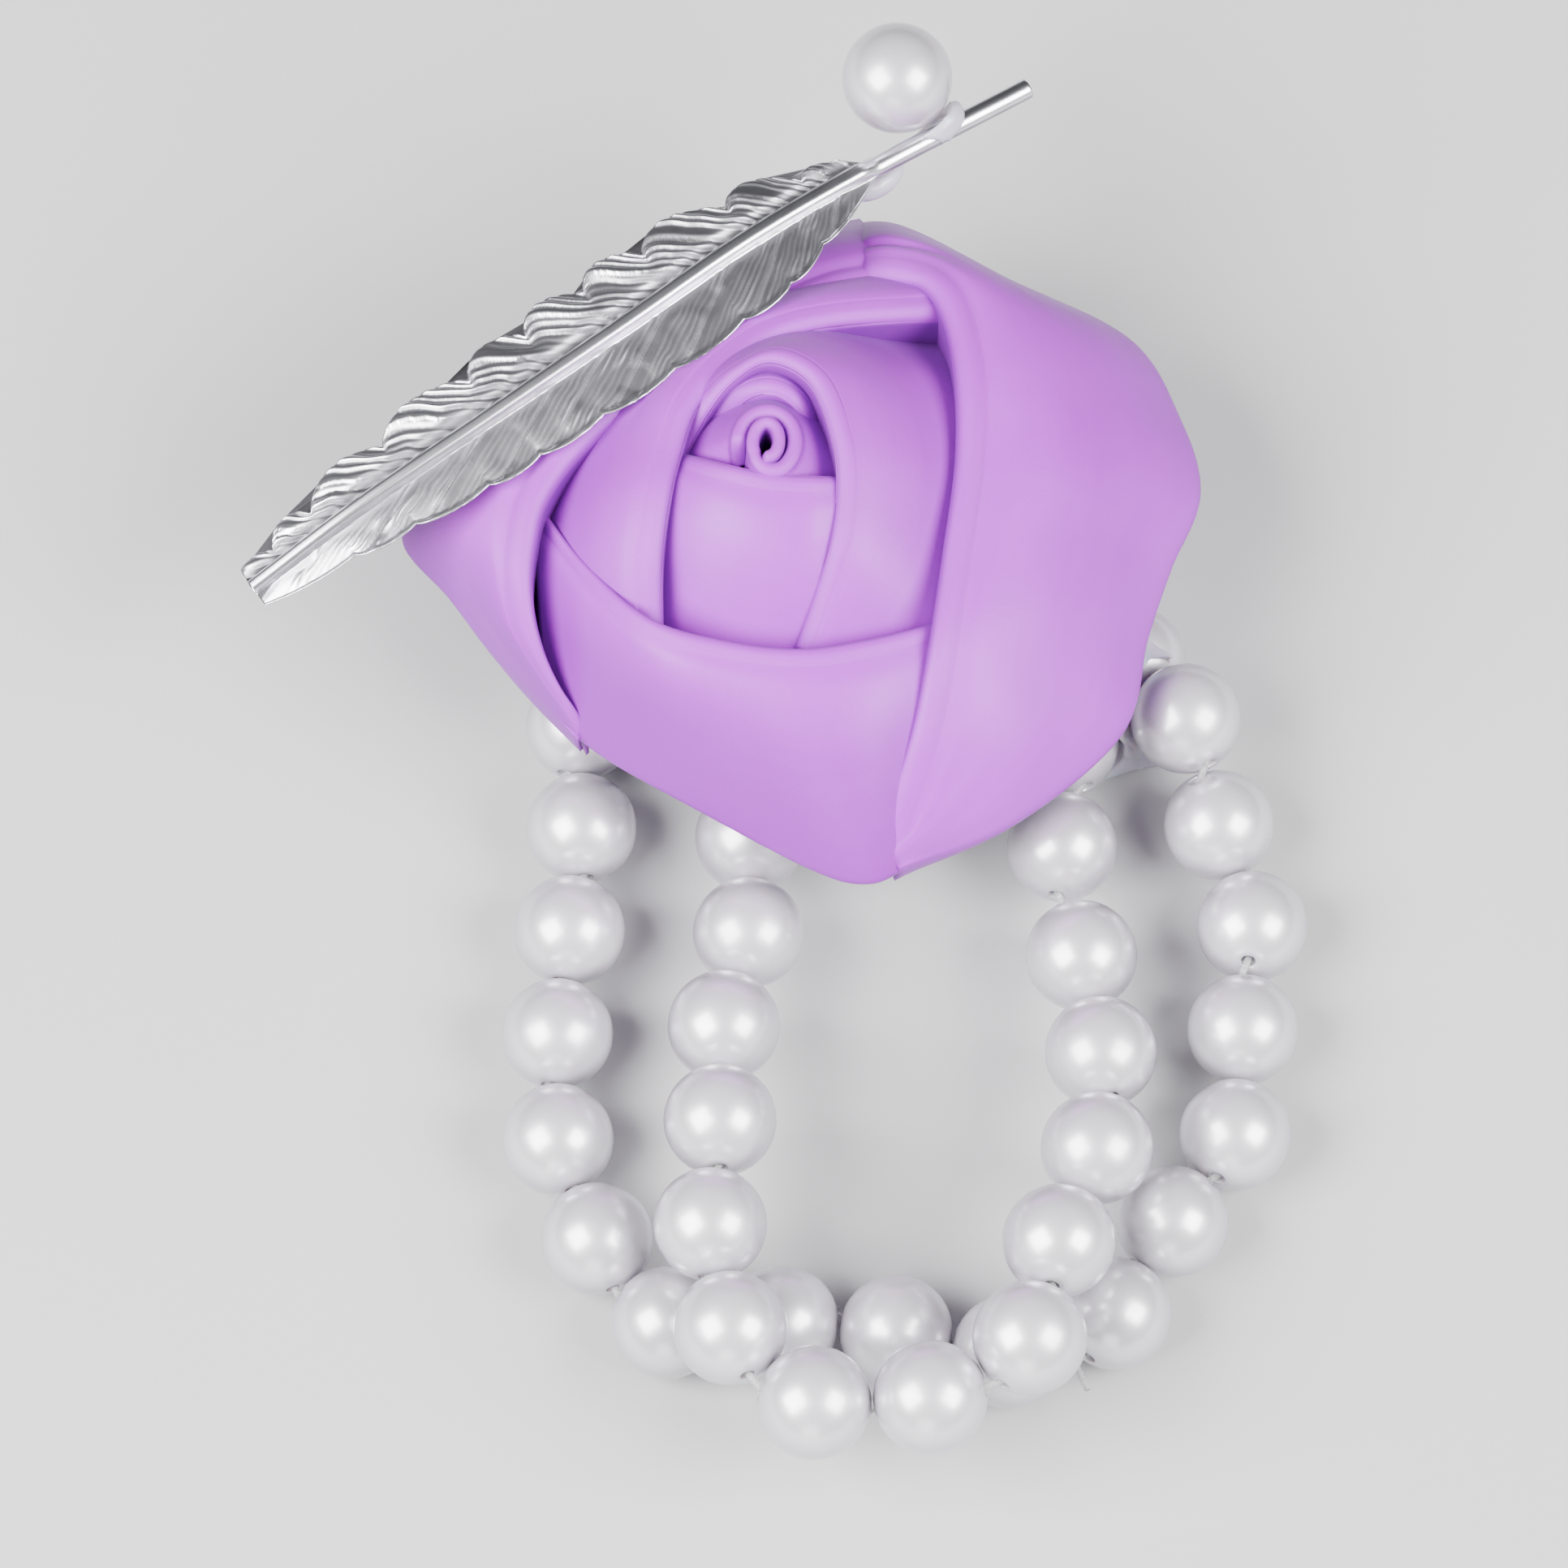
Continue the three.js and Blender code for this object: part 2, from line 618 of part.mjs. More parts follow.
// The ribbon's end, rolled up on itself in the middle of the rose: one wide turn, then a tight
// one round the eye. Its radius runs along the turns in shares of coreRadius.
const corePlaceShares = [-0.089, 0.06];
const coreTurnCount = 1.78;
const coreStartAngle = 205;
const coreRadiusShares = [1, 1, 1, 0.97, 0.52, 0.5, 0.48, 0.47, 0.46];

// The outline of the roll at one share of its turns, that far inside the satin's outer face
function corePoint(share, inset) {
  const angle = THREE.MathUtils.degToRad(coreStartAngle - share * coreTurnCount * 360);
  const radius = coreRadius * shareAt(coreRadiusShares, share) - inset;
  return new THREE.Vector2(Math.cos(angle) * radius, Math.sin(angle) * (radius + coreStretch));
}

function coreSolid() {
  const steps = Math.round(coreTurnCount * coreStepsPerTurn);
  const outer = [];
  const inner = [];
  for (let step = 0; step <= steps; step++) {
    outer.push(corePoint(step / steps, 0));
    inner.push(corePoint(step / steps, satinThickness));
  }
  const outline = new THREE.Shape(outer.concat(inner.reverse()));
  const roll = new THREE.ExtrudeGeometry(outline, { depth: coreHeight, bevelEnabled: false });

  // The wide turn's satin falls away outwards all round, down between the folds
  const inside = coreRadius - satinThickness;
  const high = coreHeight - coreSkirtDrop;
  const low = high - coreSkirtDepth;
  const profile = [
    new THREE.Vector2(inside, low),
    new THREE.Vector2(coreSkirtRadius, low),
    new THREE.Vector2(coreRadius, high),
    new THREE.Vector2(inside, high),
    new THREE.Vector2(inside, low),
  ];
  const skirt = new THREE.LatheGeometry(profile, coreSkirtSides);
  skirt.rotateX(Math.PI / 2);
  skirt.scale(1, (coreRadius + coreStretch) / coreRadius, 1);
  return solidOf(roll)
    .add(solidOf(skirt))
    .translate(corePlaceShares[0] * roseRadius, corePlaceShares[1] * roseRadius, roseBase);
}

// Feather

// The feather lies across the rose at its seat, given in shares of the rose's radius. Its midline
// runs from the quill's cut end to the tail, as [along, aside] from the seat in shares of the
// feather's length and z in shares of the rose's height.
const featherSeatShares = [-0.45, 0.431];
const rachisShares = [
  [-0.523, -0.002, 0.675], [-0.332, -0.009, 0.725], [-0.166, -0.007, 0.77], [0, 0, 0.75],
  [0.174, 0.002, 0.69], [0.336, 0, 0.6], [0.471, -0.002, 0.46],
];
// Half widths of the vane from its quill end to its tail, in shares of the vane's width.
const farSideShares = [0.16, 0.5, 0.72, 0.84, 0.86, 0.84, 0.78, 0.72, 0.62, 0.45, 0.26];
const nearSideShares = [0.16, 0.62, 0.96, 1, 1, 0.96, 0.92, 0.84, 0.7, 0.52, 0.3];
const vaneStartShare = 0.2;
// Where the tufts of barbs part, from the quill end of the vane to its tail
const farTuftShares = [-0.02, 0.09, 0.195, 0.322, 0.418, 0.515, 0.61, 0.754, 0.88, 0.949, 1.02];
const nearTuftShares = [-0.02, 0.12, 0.19, 0.273, 0.385, 0.495, 0.593, 0.67, 0.777, 0.864, 1.02];
const tuftStopShares = [[0, 0.35, 0.75], [0, 0.6]];
const tuftDepthShares = [0.17, 0.08];
const tuftCrestShare = 0.6;
const crownShares = [0, 0.1, 0.3, 0.62, 0.3, 0.1, 0];
const acrossShares = [-1, -0.62, -0.18, 0, 0.18, 0.62, 1];

const rachis = makeRachis();

function makeRachis() {
  const angle = THREE.MathUtils.degToRad(featherAngle);
  const along = new THREE.Vector3(Math.cos(angle), Math.sin(angle), 0);
  const aside = new THREE.Vector3(-along.y, along.x, 0);
  const seat = new THREE.Vector3(featherSeatShares[0], featherSeatShares[1], 0);
  return new THREE.CatmullRomCurve3(
    rachisShares.map(([alongShare, asideShare, heightShare]) =>
      seat
        .clone()
        .multiplyScalar(roseRadius)
        .addScaledVector(along, alongShare * featherLength)
        .addScaledVector(aside, asideShare * featherLength)
        .setZ(roseBase + heightShare * roseHeight),
    ),
    false,
    "catmullrom",
    0.5,
  );
}

// The value of a table at a place from 0 to 1, on the straight line between its two neighbours
function shareAt(shares, t) {
  const along = t * (shares.length - 1);
  const i = Math.min(Math.floor(along), shares.length - 2);
  return THREE.MathUtils.lerp(shares[i], shares[i + 1], along - i);
}

// A tuft swells from its notch to the crest and rounds off to the next notch, from 0 to 1.
function tuftSwell(shares, t) {
  const i = Math.min(shares.findLastIndex((share) => share <= t), shares.length - 2);
  const through = (t - shares[i]) / (shares[i + 1] - shares[i]);
  const turn =
    through < tuftCrestShare
      ? through / tuftCrestShare
      : 1 + (through - tuftCrestShare) / (1 - tuftCrestShare);
  return Math.sin((turn * Math.PI) / 2);
}

// The vane is cut across at every notch and at the stops between them.
function vaneStops() {
  const stops = [0, 1];
  [farTuftShares, nearTuftShares].forEach((shares, side) => {
    shares.slice(1).forEach((end, i) => {
      for (const stop of tuftStopShares[side]) {
        stops.push(THREE.MathUtils.lerp(shares[i], end, stop));
      }
    });
  });
  return stops.filter((stop) => stop >= 0 && stop <= 1).sort((a, b) => a - b);
}

function featherSolid(extra) {
  const top = [];
  const bottom = [];
  for (const t of vaneStops()) {
    const along = vaneStartShare + (1 - vaneStartShare) * t;
    const middle = rachis.getPointAt(along);
    const direction = rachis.getTangentAt(along);
    const near = new THREE.Vector3().crossVectors(direction, up).normalize().negate();
    const above = new THREE.Vector3().crossVectors(direction, near).normalize();
    if (above.z < 0) above.negate();
    middle.addScaledVector(direction, (t === 1 ? extra : 0) - (t === 0 ? extra : 0));
    const widths = [shareAt(farSideShares, t), shareAt(nearSideShares, t)];
    const tufts = [farTuftShares, nearTuftShares].map((shares) => tuftSwell(shares, t) - 0.5);
    const rows = [[], []];
    acrossShares.forEach((across, column) => {
      const side = across < 0 ? 0 : 1;
      const notch = Math.abs(across) === 1 ? tufts[side] * tuftDepthShares[side] : 0;
      const reach = across * (widths[side] + notch) * vaneWidth + Math.sign(across) * extra;
      const lift = crownShares[column] * vaneThickness;
      rows.forEach((row, face) => {
        const height = face === 0 ? vaneThickness / 2 + lift + extra : -vaneThickness / 2 - extra;
        row.push(middle.clone().addScaledVector(near, reach).addScaledVector(above, height));
      });
    });
    top.push(rows[0]);
    bottom.push(rows[1]);
  }
  const vane = solidOf(thickSheet(top, bottom));
  const bar = taperedBar(
    rachis,
    barSteps,
    barSides,
    (along) => THREE.MathUtils.lerp(quillDiameter, rachisTipDiameter, along) / 2 + extra,
  );
  return vane.add(solidOf(bar));
}

const feather = featherSolid(0);
const featherRoom = featherSolid(clearance);
addPiece("feather", geometryOf(feather), finish.silver);

// Every fold gives way to the feather above it and to each fold that lies over it.
const folds = foldShares.map((shares) => foldSolid(shares, 0));
const foldRooms = foldShares.map((shares) => foldSolid(shares, clearance));
const roseParts = folds.map((fold, i) => {
  const open = foldRooms.slice(i + 1).reduce((solid, room) => solid.subtract(room), fold);
  return largestBody(open.subtract(featherRoom));
});
const core = foldRooms.reduce((solid, room) => solid.subtract(room), coreSolid());
addPiece("rose_core", geometryOf(largestBody(core)), finish.satin);
roseParts.forEach((part, i) => addPiece(`rose_fold_${i + 1}`, geometryOf(part), finish.satin));

// The pearl on the quill, and the clear glue that holds it and the quill

const quillPearlShare = 0.125;
const quillPearlAngle = 30;
const pearlGlueShares = [1, 0.72, 0.8];
const quillGlueShares = [1, 0.62, 0.5];
const quillGlueShare = 0.195;

function makeQuillPearl() {
  const seat = rachis.getPointAt(quillPearlShare);
  const direction = rachis.getTangentAt(quillPearlShare);
  const far = new THREE.Vector3().crossVectors(direction, up).normalize();
  if (far.y < 0) far.negate();
  const rise = THREE.MathUtils.degToRad(quillPearlAngle);
  const towards = far.multiplyScalar(Math.cos(rise)).addScaledVector(up, Math.sin(rise));
  const reach = pearlRadius + clearance + quillDiameter / 2;
  const place = seat.clone().addScaledVector(towards, reach);
  const pearl = addPiece("feather_pearl", loosePearl, finish.pearl);
  pearl.position.copy(place);
  pearl.rotation.z = -Math.PI / 2;

  const collar = new THREE.SphereGeometry(pearlGlueReach, glueSides, glueArcs);
  collar.scale(...pearlGlueShares);
  collar.rotateZ(Math.atan2(direction.y, direction.x));
  const contact = seat.clone().addScaledVector(towards, quillDiameter / 2);
  contact.addScaledVector(direction, -pearlGlueShift);
  collar.translate(contact.x, contact.y, contact.z);
  const roomRadius = pearlRadius + clearance * 2;
  const pearlRoom = new THREE.SphereGeometry(roomRadius, pearlRoomSides, pearlRoomArcs);
  pearlRoom.translate(place.x, place.y, place.z);
  const glue = solidOf(collar).subtract(featherRoom).subtract(solidOf(pearlRoom));
  addPiece("pearl_glue", geometryOf(largestBody(glue)), finish.glue);
}
makeQuillPearl();

function makeQuillGlue() {
  const seat = rachis.getPointAt(quillGlueShare);
  const direction = rachis.getTangentAt(quillGlueShare);
  const dab = new THREE.SphereGeometry(quillGlueLength / 2, glueSides, glueArcs);
  dab.scale(...quillGlueShares);
  dab.rotateZ(Math.atan2(direction.y, direction.x));
  dab.translate(seat.x, seat.y, seat.z - quillDiameter);
  const glue = foldRooms.reduce((solid, room) => solid.subtract(room), solidOf(dab));
  addPiece("quill_glue", geometryOf(largestBody(glue.subtract(featherRoom))), finish.glue);
}
makeQuillGlue();

export default corsage;
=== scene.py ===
import json
import math

import bmesh
import bpy
from mathutils import Matrix, Vector, noise
from mathutils.bvhtree import BVHTree
from mathutils.kdtree import KDTree

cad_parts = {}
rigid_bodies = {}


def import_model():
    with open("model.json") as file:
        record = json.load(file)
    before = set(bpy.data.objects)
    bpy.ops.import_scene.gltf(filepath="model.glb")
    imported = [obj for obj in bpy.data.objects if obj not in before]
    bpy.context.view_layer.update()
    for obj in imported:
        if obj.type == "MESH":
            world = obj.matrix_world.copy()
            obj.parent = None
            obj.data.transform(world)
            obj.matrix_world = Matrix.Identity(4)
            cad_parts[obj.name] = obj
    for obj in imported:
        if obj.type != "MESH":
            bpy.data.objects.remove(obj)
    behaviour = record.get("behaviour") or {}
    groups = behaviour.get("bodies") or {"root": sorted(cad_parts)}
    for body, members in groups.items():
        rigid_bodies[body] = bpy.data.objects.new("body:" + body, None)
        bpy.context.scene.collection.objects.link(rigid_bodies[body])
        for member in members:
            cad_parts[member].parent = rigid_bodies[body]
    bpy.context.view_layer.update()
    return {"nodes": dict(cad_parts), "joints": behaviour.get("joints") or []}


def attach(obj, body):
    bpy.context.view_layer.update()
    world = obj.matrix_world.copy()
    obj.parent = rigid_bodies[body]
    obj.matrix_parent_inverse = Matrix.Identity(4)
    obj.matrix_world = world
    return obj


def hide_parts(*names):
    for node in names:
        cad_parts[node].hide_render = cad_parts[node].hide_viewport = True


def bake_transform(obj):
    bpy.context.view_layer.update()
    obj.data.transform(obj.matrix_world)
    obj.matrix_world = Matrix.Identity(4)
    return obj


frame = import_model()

# Wrist corsage: two pearl strands, glue bed, plate, folded satin rose, cast feather
scene = bpy.context.scene
mm = 0.001
weld = 0.001 * mm  # corners nearer than this are merged
up = Vector((0, 0, 1))

# Camera, light and floor

photoView = {
    "aim": Vector((-1.3, -12.1, 0)) * mm,
    "distance": 600 * mm,
    "elevation": math.radians(66.5),
    "angle": math.radians(10.82),
    "clipStart": 10 * mm,
}

# Where each soft light stands, seen from the camera: right, up and towards the camera
softLights = {
    "leftSoftbox": {"place": (-0.62, 0.02, 0.78), "distance": 0.5, "size": 0.34, "power": 8.4},
    "rightSoftbox": {"place": (0.66, 0, 0.75), "distance": 0.52, "size": 0.3, "power": 6.6},
    "frontSoftbox": {"place": (-0.1, -0.8, 0.55), "distance": 0.55, "size": 0.24, "power": 0.6},
}
studio = {
    "sky": (0.86, 0.88, 0.92),
    "skyStrength": 0.06,
    "floor": (0.5, 0.5, 0.51),
    "floorRoughness": 0.85,
    "floorSide": 3.0,
}


def makeCamera():
    lens = bpy.data.cameras.new("photoCamera")
    lens.angle = photoView["angle"]
    lens.clip_start = photoView["clipStart"]
    camera = bpy.data.objects.new("photoCamera", lens)
    rise = photoView["elevation"]
    back = Vector((0, -math.cos(rise), math.sin(rise)))
    camera.location = photoView["aim"] + back * photoView["distance"]
    camera.rotation_euler = back.to_track_quat("Z", "Y").to_euler()
    scene.collection.objects.link(camera)
    scene.camera = camera
    return camera


def makeLights(camera):
    turn = camera.rotation_euler.to_matrix()
    for name, look in softLights.items():
        lamp = bpy.data.lights.new(name, "AREA")
        lamp.shape = "SQUARE"
        lamp.size = look["size"]
        lamp.energy = look["power"]
        light = bpy.data.objects.new(name, lamp)
        towards = (turn @ Vector(look["place"])).normalized()
        light.location = photoView["aim"] + towards * look["distance"]
        light.rotation_euler = towards.to_track_quat("Z", "Y").to_euler()
        scene.collection.objects.link(light)
    world = bpy.data.worlds.new("studioSky")
    world.use_nodes = True
    sky = world.node_tree.nodes["Background"]
    sky.inputs["Color"].default_value = (*studio["sky"], 1)
    sky.inputs["Strength"].default_value = studio["skyStrength"]
    scene.world = world


def makeFloor():
    bm = bmesh.new()
    bmesh.ops.create_grid(bm, x_segments=4, y_segments=4, size=studio["floorSide"] / 2)
    mesh = bpy.data.meshes.new("floor")
    bm.to_mesh(mesh)
    bm.free()
    paper = bpy.data.materials.new("palePaper")
    paper.use_nodes = True
    shader = paper.node_tree.nodes["Principled BSDF"]
    shader.inputs["Base Color"].default_value = (*studio["floor"], 1)
    shader.inputs["Roughness"].default_value = studio["floorRoughness"]
    mesh.materials.append(paper)
    floor = bpy.data.objects.new("floor", mesh)
    scene.collection.objects.link(floor)


camera = makeCamera()
makeLights(camera)
makeFloor()
print("stage: camera, lights and floor")

# Shader helpers


def fill(tree, socket, value):
    # Links another socket, or sets a plain value or colour
    if isinstance(value, bpy.types.NodeSocket):
        tree.links.new(value, socket)
    else:
        socket.default_value = (*value, 1) if socket.type == "RGBA" else value


def addNode(tree, kind, **values):
    # Each value is one of the node's own settings, or goes into the input of that name
    node = tree.nodes.new(kind)
    for key, value in values.items():
        if hasattr(node, key):
            setattr(node, key, value)
        else:
            fill(tree, node.inputs[key.replace("_", " ")], value)
    return node


def addMath(tree, operation, *values, **settings):
    node = addNode(tree, "ShaderNodeMath", operation=operation, **settings)
    for socket, value in zip(node.inputs, values):
        fill(tree, socket, value)
    return node.outputs[0]


def newGroup(name, inputs, outputs):
    group = bpy.data.node_groups.new(name, "ShaderNodeTree")
    for label, kind, value in inputs:
        socket = group.interface.new_socket(label, in_out="INPUT", socket_type=kind)
        if value is not None:
            socket.default_value = value
    for label, kind in outputs:
        group.interface.new_socket(label, in_out="OUTPUT", socket_type=kind)
    return group, group.nodes.new("NodeGroupInput"), group.nodes.new("NodeGroupOutput")


mottleLook = {"detail": 3.0, "roughness": 0.55, "range": (0.3, 0.7)}


def makeMottleGroup():
    # Soft uneven clouds in real sizes, for lacquer, glue and metal
    group, given, out = newGroup(
        "mottle",
        [
            ("Vector", "NodeSocketVector", None),
            ("Size", "NodeSocketFloat", 0.002),
            ("Contrast", "NodeSocketFloat", 1.0),
        ],
        [("Mask", "NodeSocketFloat"), ("Height", "NodeSocketFloat")],
    )
    cloud = addNode(
        group,
        "ShaderNodeTexNoise",
        Vector=given.outputs["Vector"],
        Scale=addMath(group, "DIVIDE", 1, given.outputs["Size"]),
        Detail=mottleLook["detail"],
        Roughness=mottleLook["roughness"],
    ).outputs["Fac"]
    low, high = mottleLook["range"]
    spread = addNode(group, "ShaderNodeMapRange", Value=cloud, From_Min=low, From_Max=high)
    mask = addMath(group, "POWER", spread.outputs["Result"], given.outputs["Contrast"])
    fill(group, out.inputs["Mask"], mask)
    fill(group, out.inputs["Height"], cloud)
    return group


def makeToneGroup():
    # Two colours laid over each other by a mask
    group, given, out = newGroup(
        "tone",
        [
            ("Mask", "NodeSocketFloat", 0.5),
            ("Base", "NodeSocketColor", (0.5, 0.5, 0.5, 1)),
            ("Over", "NodeSocketColor", (0.5, 0.5, 0.5, 1)),
            ("Amount", "NodeSocketFloat", 1.0),
        ],
        [("Color", "NodeSocketColor")],
    )
    share = addMath(group, "MULTIPLY", given.outputs["Mask"], given.outputs["Amount"], use_clamp=True)
    mix = addNode(group, "ShaderNodeMix", data_type="RGBA")
    for place, value in ((0, share), (6, given.outputs["Base"]), (7, given.outputs["Over"])):
        fill(group, mix.inputs[place], value)
    fill(group, out.inputs["Color"], mix.outputs[2])
    return group


mottleGroup = makeMottleGroup()
toneGroup = makeToneGroup()


def newMaterial(name, **constants):
    material = bpy.data.materials.new(name)
    material.use_nodes = True
    tree = material.node_tree
    shader = tree.nodes["Principled BSDF"]
    for key, value in constants.items():
        fill(tree, shader.inputs[key.replace("_", " ")], value)
    return material, tree, shader


def addMottle(tree, size, contrast=1.0, vector=None):
    if vector is None:
        vector = addNode(tree, "ShaderNodeTexCoord").outputs["Object"]
    return addNode(
        tree, "ShaderNodeGroup", node_tree=mottleGroup, Size=size, Contrast=contrast, Vector=vector
    )


def addTone(tree, mask, base, over, amount):
    node = addNode(
        tree, "ShaderNodeGroup", node_tree=toneGroup, Mask=mask, Base=base, Over=over, Amount=amount
    )
    return node.outputs["Color"]


def addSlant(tree, low, high):
    # 0 where the surface faces the eye, 1 where it turns away: a mask for painted shade
    slant = addNode(tree, "ShaderNodeLayerWeight", Blend=0.5).outputs["Facing"]
    node = addNode(
        tree,
        "ShaderNodeMapRange",
        interpolation_type="SMOOTHSTEP",
        Value=slant,
        From_Min=low,
        From_Max=high,
    )
    return node.outputs["Result"]


def addBump(tree, shader, height, strength, distance, before=None):
    bump = addNode(tree, "ShaderNodeBump", Strength=strength, Distance=distance, Height=height)
    if before is not None:
        fill(tree, bump.inputs["Normal"], before)
    fill(tree, shader.inputs["Normal"], bump.outputs["Normal"])
    return bump.outputs["Normal"]


def setFace(tree, shader, colour, mask, roughness):
    # The colour goes on, and the mask moves the gloss between two roughnesses
    fill(tree, shader.inputs["Base Color"], colour)
    gloss = addNode(tree, "ShaderNodeMapRange", Value=mask, To_Min=roughness[0], To_Max=roughness[1])
    fill(tree, shader.inputs["Roughness"], gloss.outputs["Result"])


def cloudedFinish(name, look, **constants):
    # Soft clouds in colour and gloss. Where the look has them: painted shade on the rim where the
    # surface turns away, fine ripples, and dark recesses that an attribute marks and that set the gloss in
    # place of the clouds
    material, tree, shader = newMaterial(name, **constants)
    mask = addMottle(tree, look["cloudSize"], look["contrast"]).outputs["Mask"]
    colour = addTone(tree, mask, look["base"], look["over"], look["share"])
    # painted shade: the colour darkens towards the edge as the surface turns away from the eye
    if "rim" in look:
        colour = addTone(tree, addSlant(tree, *look["rimShadeSlant"]), colour, look["rim"], look["rimShadeShare"])
    if "recess" in look:
        mask = addNode(tree, "ShaderNodeAttribute", attribute_name=look["attribute"]).outputs["Fac"]
        colour = addTone(tree, mask, colour, look["recess"], look["recessShare"])
    setFace(tree, shader, colour, mask, look["roughness"])
    if "rippleSize" in look:
        ripples = addMottle(tree, look["rippleSize"]).outputs["Height"]
        addBump(tree, shader, ripples, look["rippleStrength"], look["rippleDepth"])
    return material


# Materials

pearlLook = {
    "base": (0.72, 0.7, 0.74),
    "over": (0.62, 0.59, 0.65),
    "cloudSize": 2.6 * mm,
    "contrast": 1.2,
    "share": 0.6,
    # painted shade on the edge, where the surface turns away from the eye
    "rim": (0.45, 0.42, 0.48),
    "rimShadeSlant": (0.12, 0.7),
    "rimShadeShare": 0.8,
    "roughness": (0.3, 0.4),
    "rippleSize": 0.35 * mm,  # pits in the lacquer
    "rippleDepth": 0.012 * mm,
    "rippleStrength": 0.25,
}

silverLook = {
    "base": (0.85, 0.84, 0.9),
    "over": (0.66, 0.65, 0.71),  # where it is worn
    "cloudSize": 1.3 * mm,
    "contrast": 1.5,
    "share": 0.55,
    "attribute": "patina",
    "recess": (0.035, 0.034, 0.038),
    "recessShare": 0.92,
    "roughness": (0.3, 0.6),
    "rippleSize": 0.12 * mm,  # cast grain
    "rippleDepth": 0.02 * mm,
    "rippleStrength": 0.3,
}

satinLook = {
    "lilac": (0.39, 0.016, 0.58),
    "pale": (0.48, 0.04, 0.66),
    # painted shade colour, laid on turned-away faces and tucked-in places
    "deep": (0.17, 0.003, 0.29),
    "sheenTint": (0.93, 0.8, 1.0),
    "drift": 9 * mm,
    "driftShare": 0.35,
    "slub": 1.6 * mm,
    "slubContrast": 1.4,
    "slubShare": 0.18,
    "slubSquash": 0.12,  # slubs run along the ribbon
    "slubStrength": 0.18,
    # painted shade on faces turned away from the eye
    "slant": (0.2, 0.85),
    "slantShadeShare": 0.6,
    # painted shade in tucked-in places: under lips, on inner walls and towards the rims
    "tuckShadeShare": 0.92,
    "roughness": (0.4, 0.5),
    "thread": 0.11 * mm,
    "threadRelief": 0.02 * mm,
    "threadStrength": 0.22,
    "weftPitch": 4,  # in threads
    "weftShare": 0.4,
    "waveScale": 0.314,  # a wave texture's scale times its pitch
    "waveDistortion": 1.2,
    "waveDetail": 3,
}


def lilacSatin():
    look = satinLook
    material, tree, shader = newMaterial(
        "lilacSatin",
        Sheen_Weight=0.08,
        Sheen_Roughness=0.4,
        Sheen_Tint=look["sheenTint"],
        Specular_IOR_Level=0.3,
    )
    ribbon = addNode(tree, "ShaderNodeUVMap", uv_map="ribbon").outputs["UV"]
    drift = addMottle(tree, look["drift"], 1.0, ribbon).outputs["Mask"]
    stretch = addNode(tree, "ShaderNodeMapping", Vector=ribbon, Scale=(1, look["slubSquash"], 1))
    slubs = addMottle(tree, look["slub"], look["slubContrast"], stretch.outputs["Vector"])
    # painted shade under the lips of outer folds, on inner walls and towards the rims
    depth = addNode(tree, "ShaderNodeAttribute", attribute_name="tuckShade").outputs["Fac"]
    colour = addTone(tree, drift, look["lilac"], look["pale"], look["driftShare"])
    colour = addTone(tree, slubs.outputs["Mask"], colour, look["pale"], look["slubShare"])
    # painted shade on turned-away faces, then in tucked-in places
    colour = addTone(tree, addSlant(tree, *look["slant"]), colour, look["deep"], look["slantShadeShare"])
    colour = addTone(tree, depth, colour, look["deep"], look["tuckShadeShare"])
    setFace(tree, shader, colour, slubs.outputs["Mask"], look["roughness"])
    waves = []
    for direction, pitch in (("X", look["thread"]), ("Y", look["thread"] * look["weftPitch"])):
        wave = addNode(
            tree,
            "ShaderNodeTexWave",
            bands_direction=direction,
            Vector=ribbon,
            Distortion=look["waveDistortion"],
            Scale=look["waveScale"] / pitch,
            Detail_Scale=look["waveDetail"],
        )
        waves.append(wave.outputs["Fac"])
    weave = addMath(tree, "MULTIPLY_ADD", waves[1], look["weftShare"], waves[0])
    relief = addBump(tree, shader, weave, look["threadStrength"], look["threadRelief"])
    addBump(tree, shader, slubs.outputs["Height"], look["slubStrength"], look["thread"], relief)
    return material


glueLook = {
    "base": (0.7, 0.67, 0.78),
    "over": (0.82, 0.8, 0.88),
    "cloudSize": 3 * mm,
    "contrast": 1.0,
    "share": 0.8,
    "roughness": (0.14, 0.3),
    "rippleSize": 1.1 * mm,
    "rippleDepth": 0.12 * mm,
    "rippleStrength": 0.35,
}

plateLook = {
    "base": (0.86, 0.88, 0.9),
    "over": (0.95, 0.95, 0.96),  # fine scuffs
    "cloudSize": 0.5 * mm,
    "contrast": 2.0,
    "share": 0.7,
    "roughness": (0.1, 0.38),
    "rippleSize": 0.5 * mm,
    "rippleDepth": 0.02 * mm,
    "rippleStrength": 0.2,
}

elasticLook = {
    "base": (0.86, 0.86, 0.85),
    "over": (0.95, 0.95, 0.95),  # milky streaks
    "cloudSize": 0.25 * mm,
    "contrast": 1.0,
    "share": 0.8,
    "roughness": (0.2, 0.4),
}

pearlMaterial = cloudedFinish(
    "pearlLacquer",
    pearlLook,
    IOR=2.0,
    Metallic=0.35,
    Coat_IOR=1.6,
    Coat_Roughness=0.17,
    Coat_Weight=1.0,
    Subsurface_Weight=0.12,
    Subsurface_Scale=1.2 * mm,
)
satinMaterial = lilacSatin()
silverMaterial = cloudedFinish("antiqueSilver", silverLook, Metallic=1.0)
glueMaterial = cloudedFinish(
    "hotGlue",
    glueLook,
    IOR=1.48,
    Transmission_Weight=0.35,
    Subsurface_Weight=0.35,
    Subsurface_Scale=2 * mm,
)
plateMaterial = cloudedFinish("clearSheet", plateLook, IOR=1.49, Transmission_Weight=0.6)
elasticMaterial = cloudedFinish("clearElastic", elasticLook, IOR=1.4, Transmission_Weight=0.75)
print("stage: materials")

# Mesh helpers


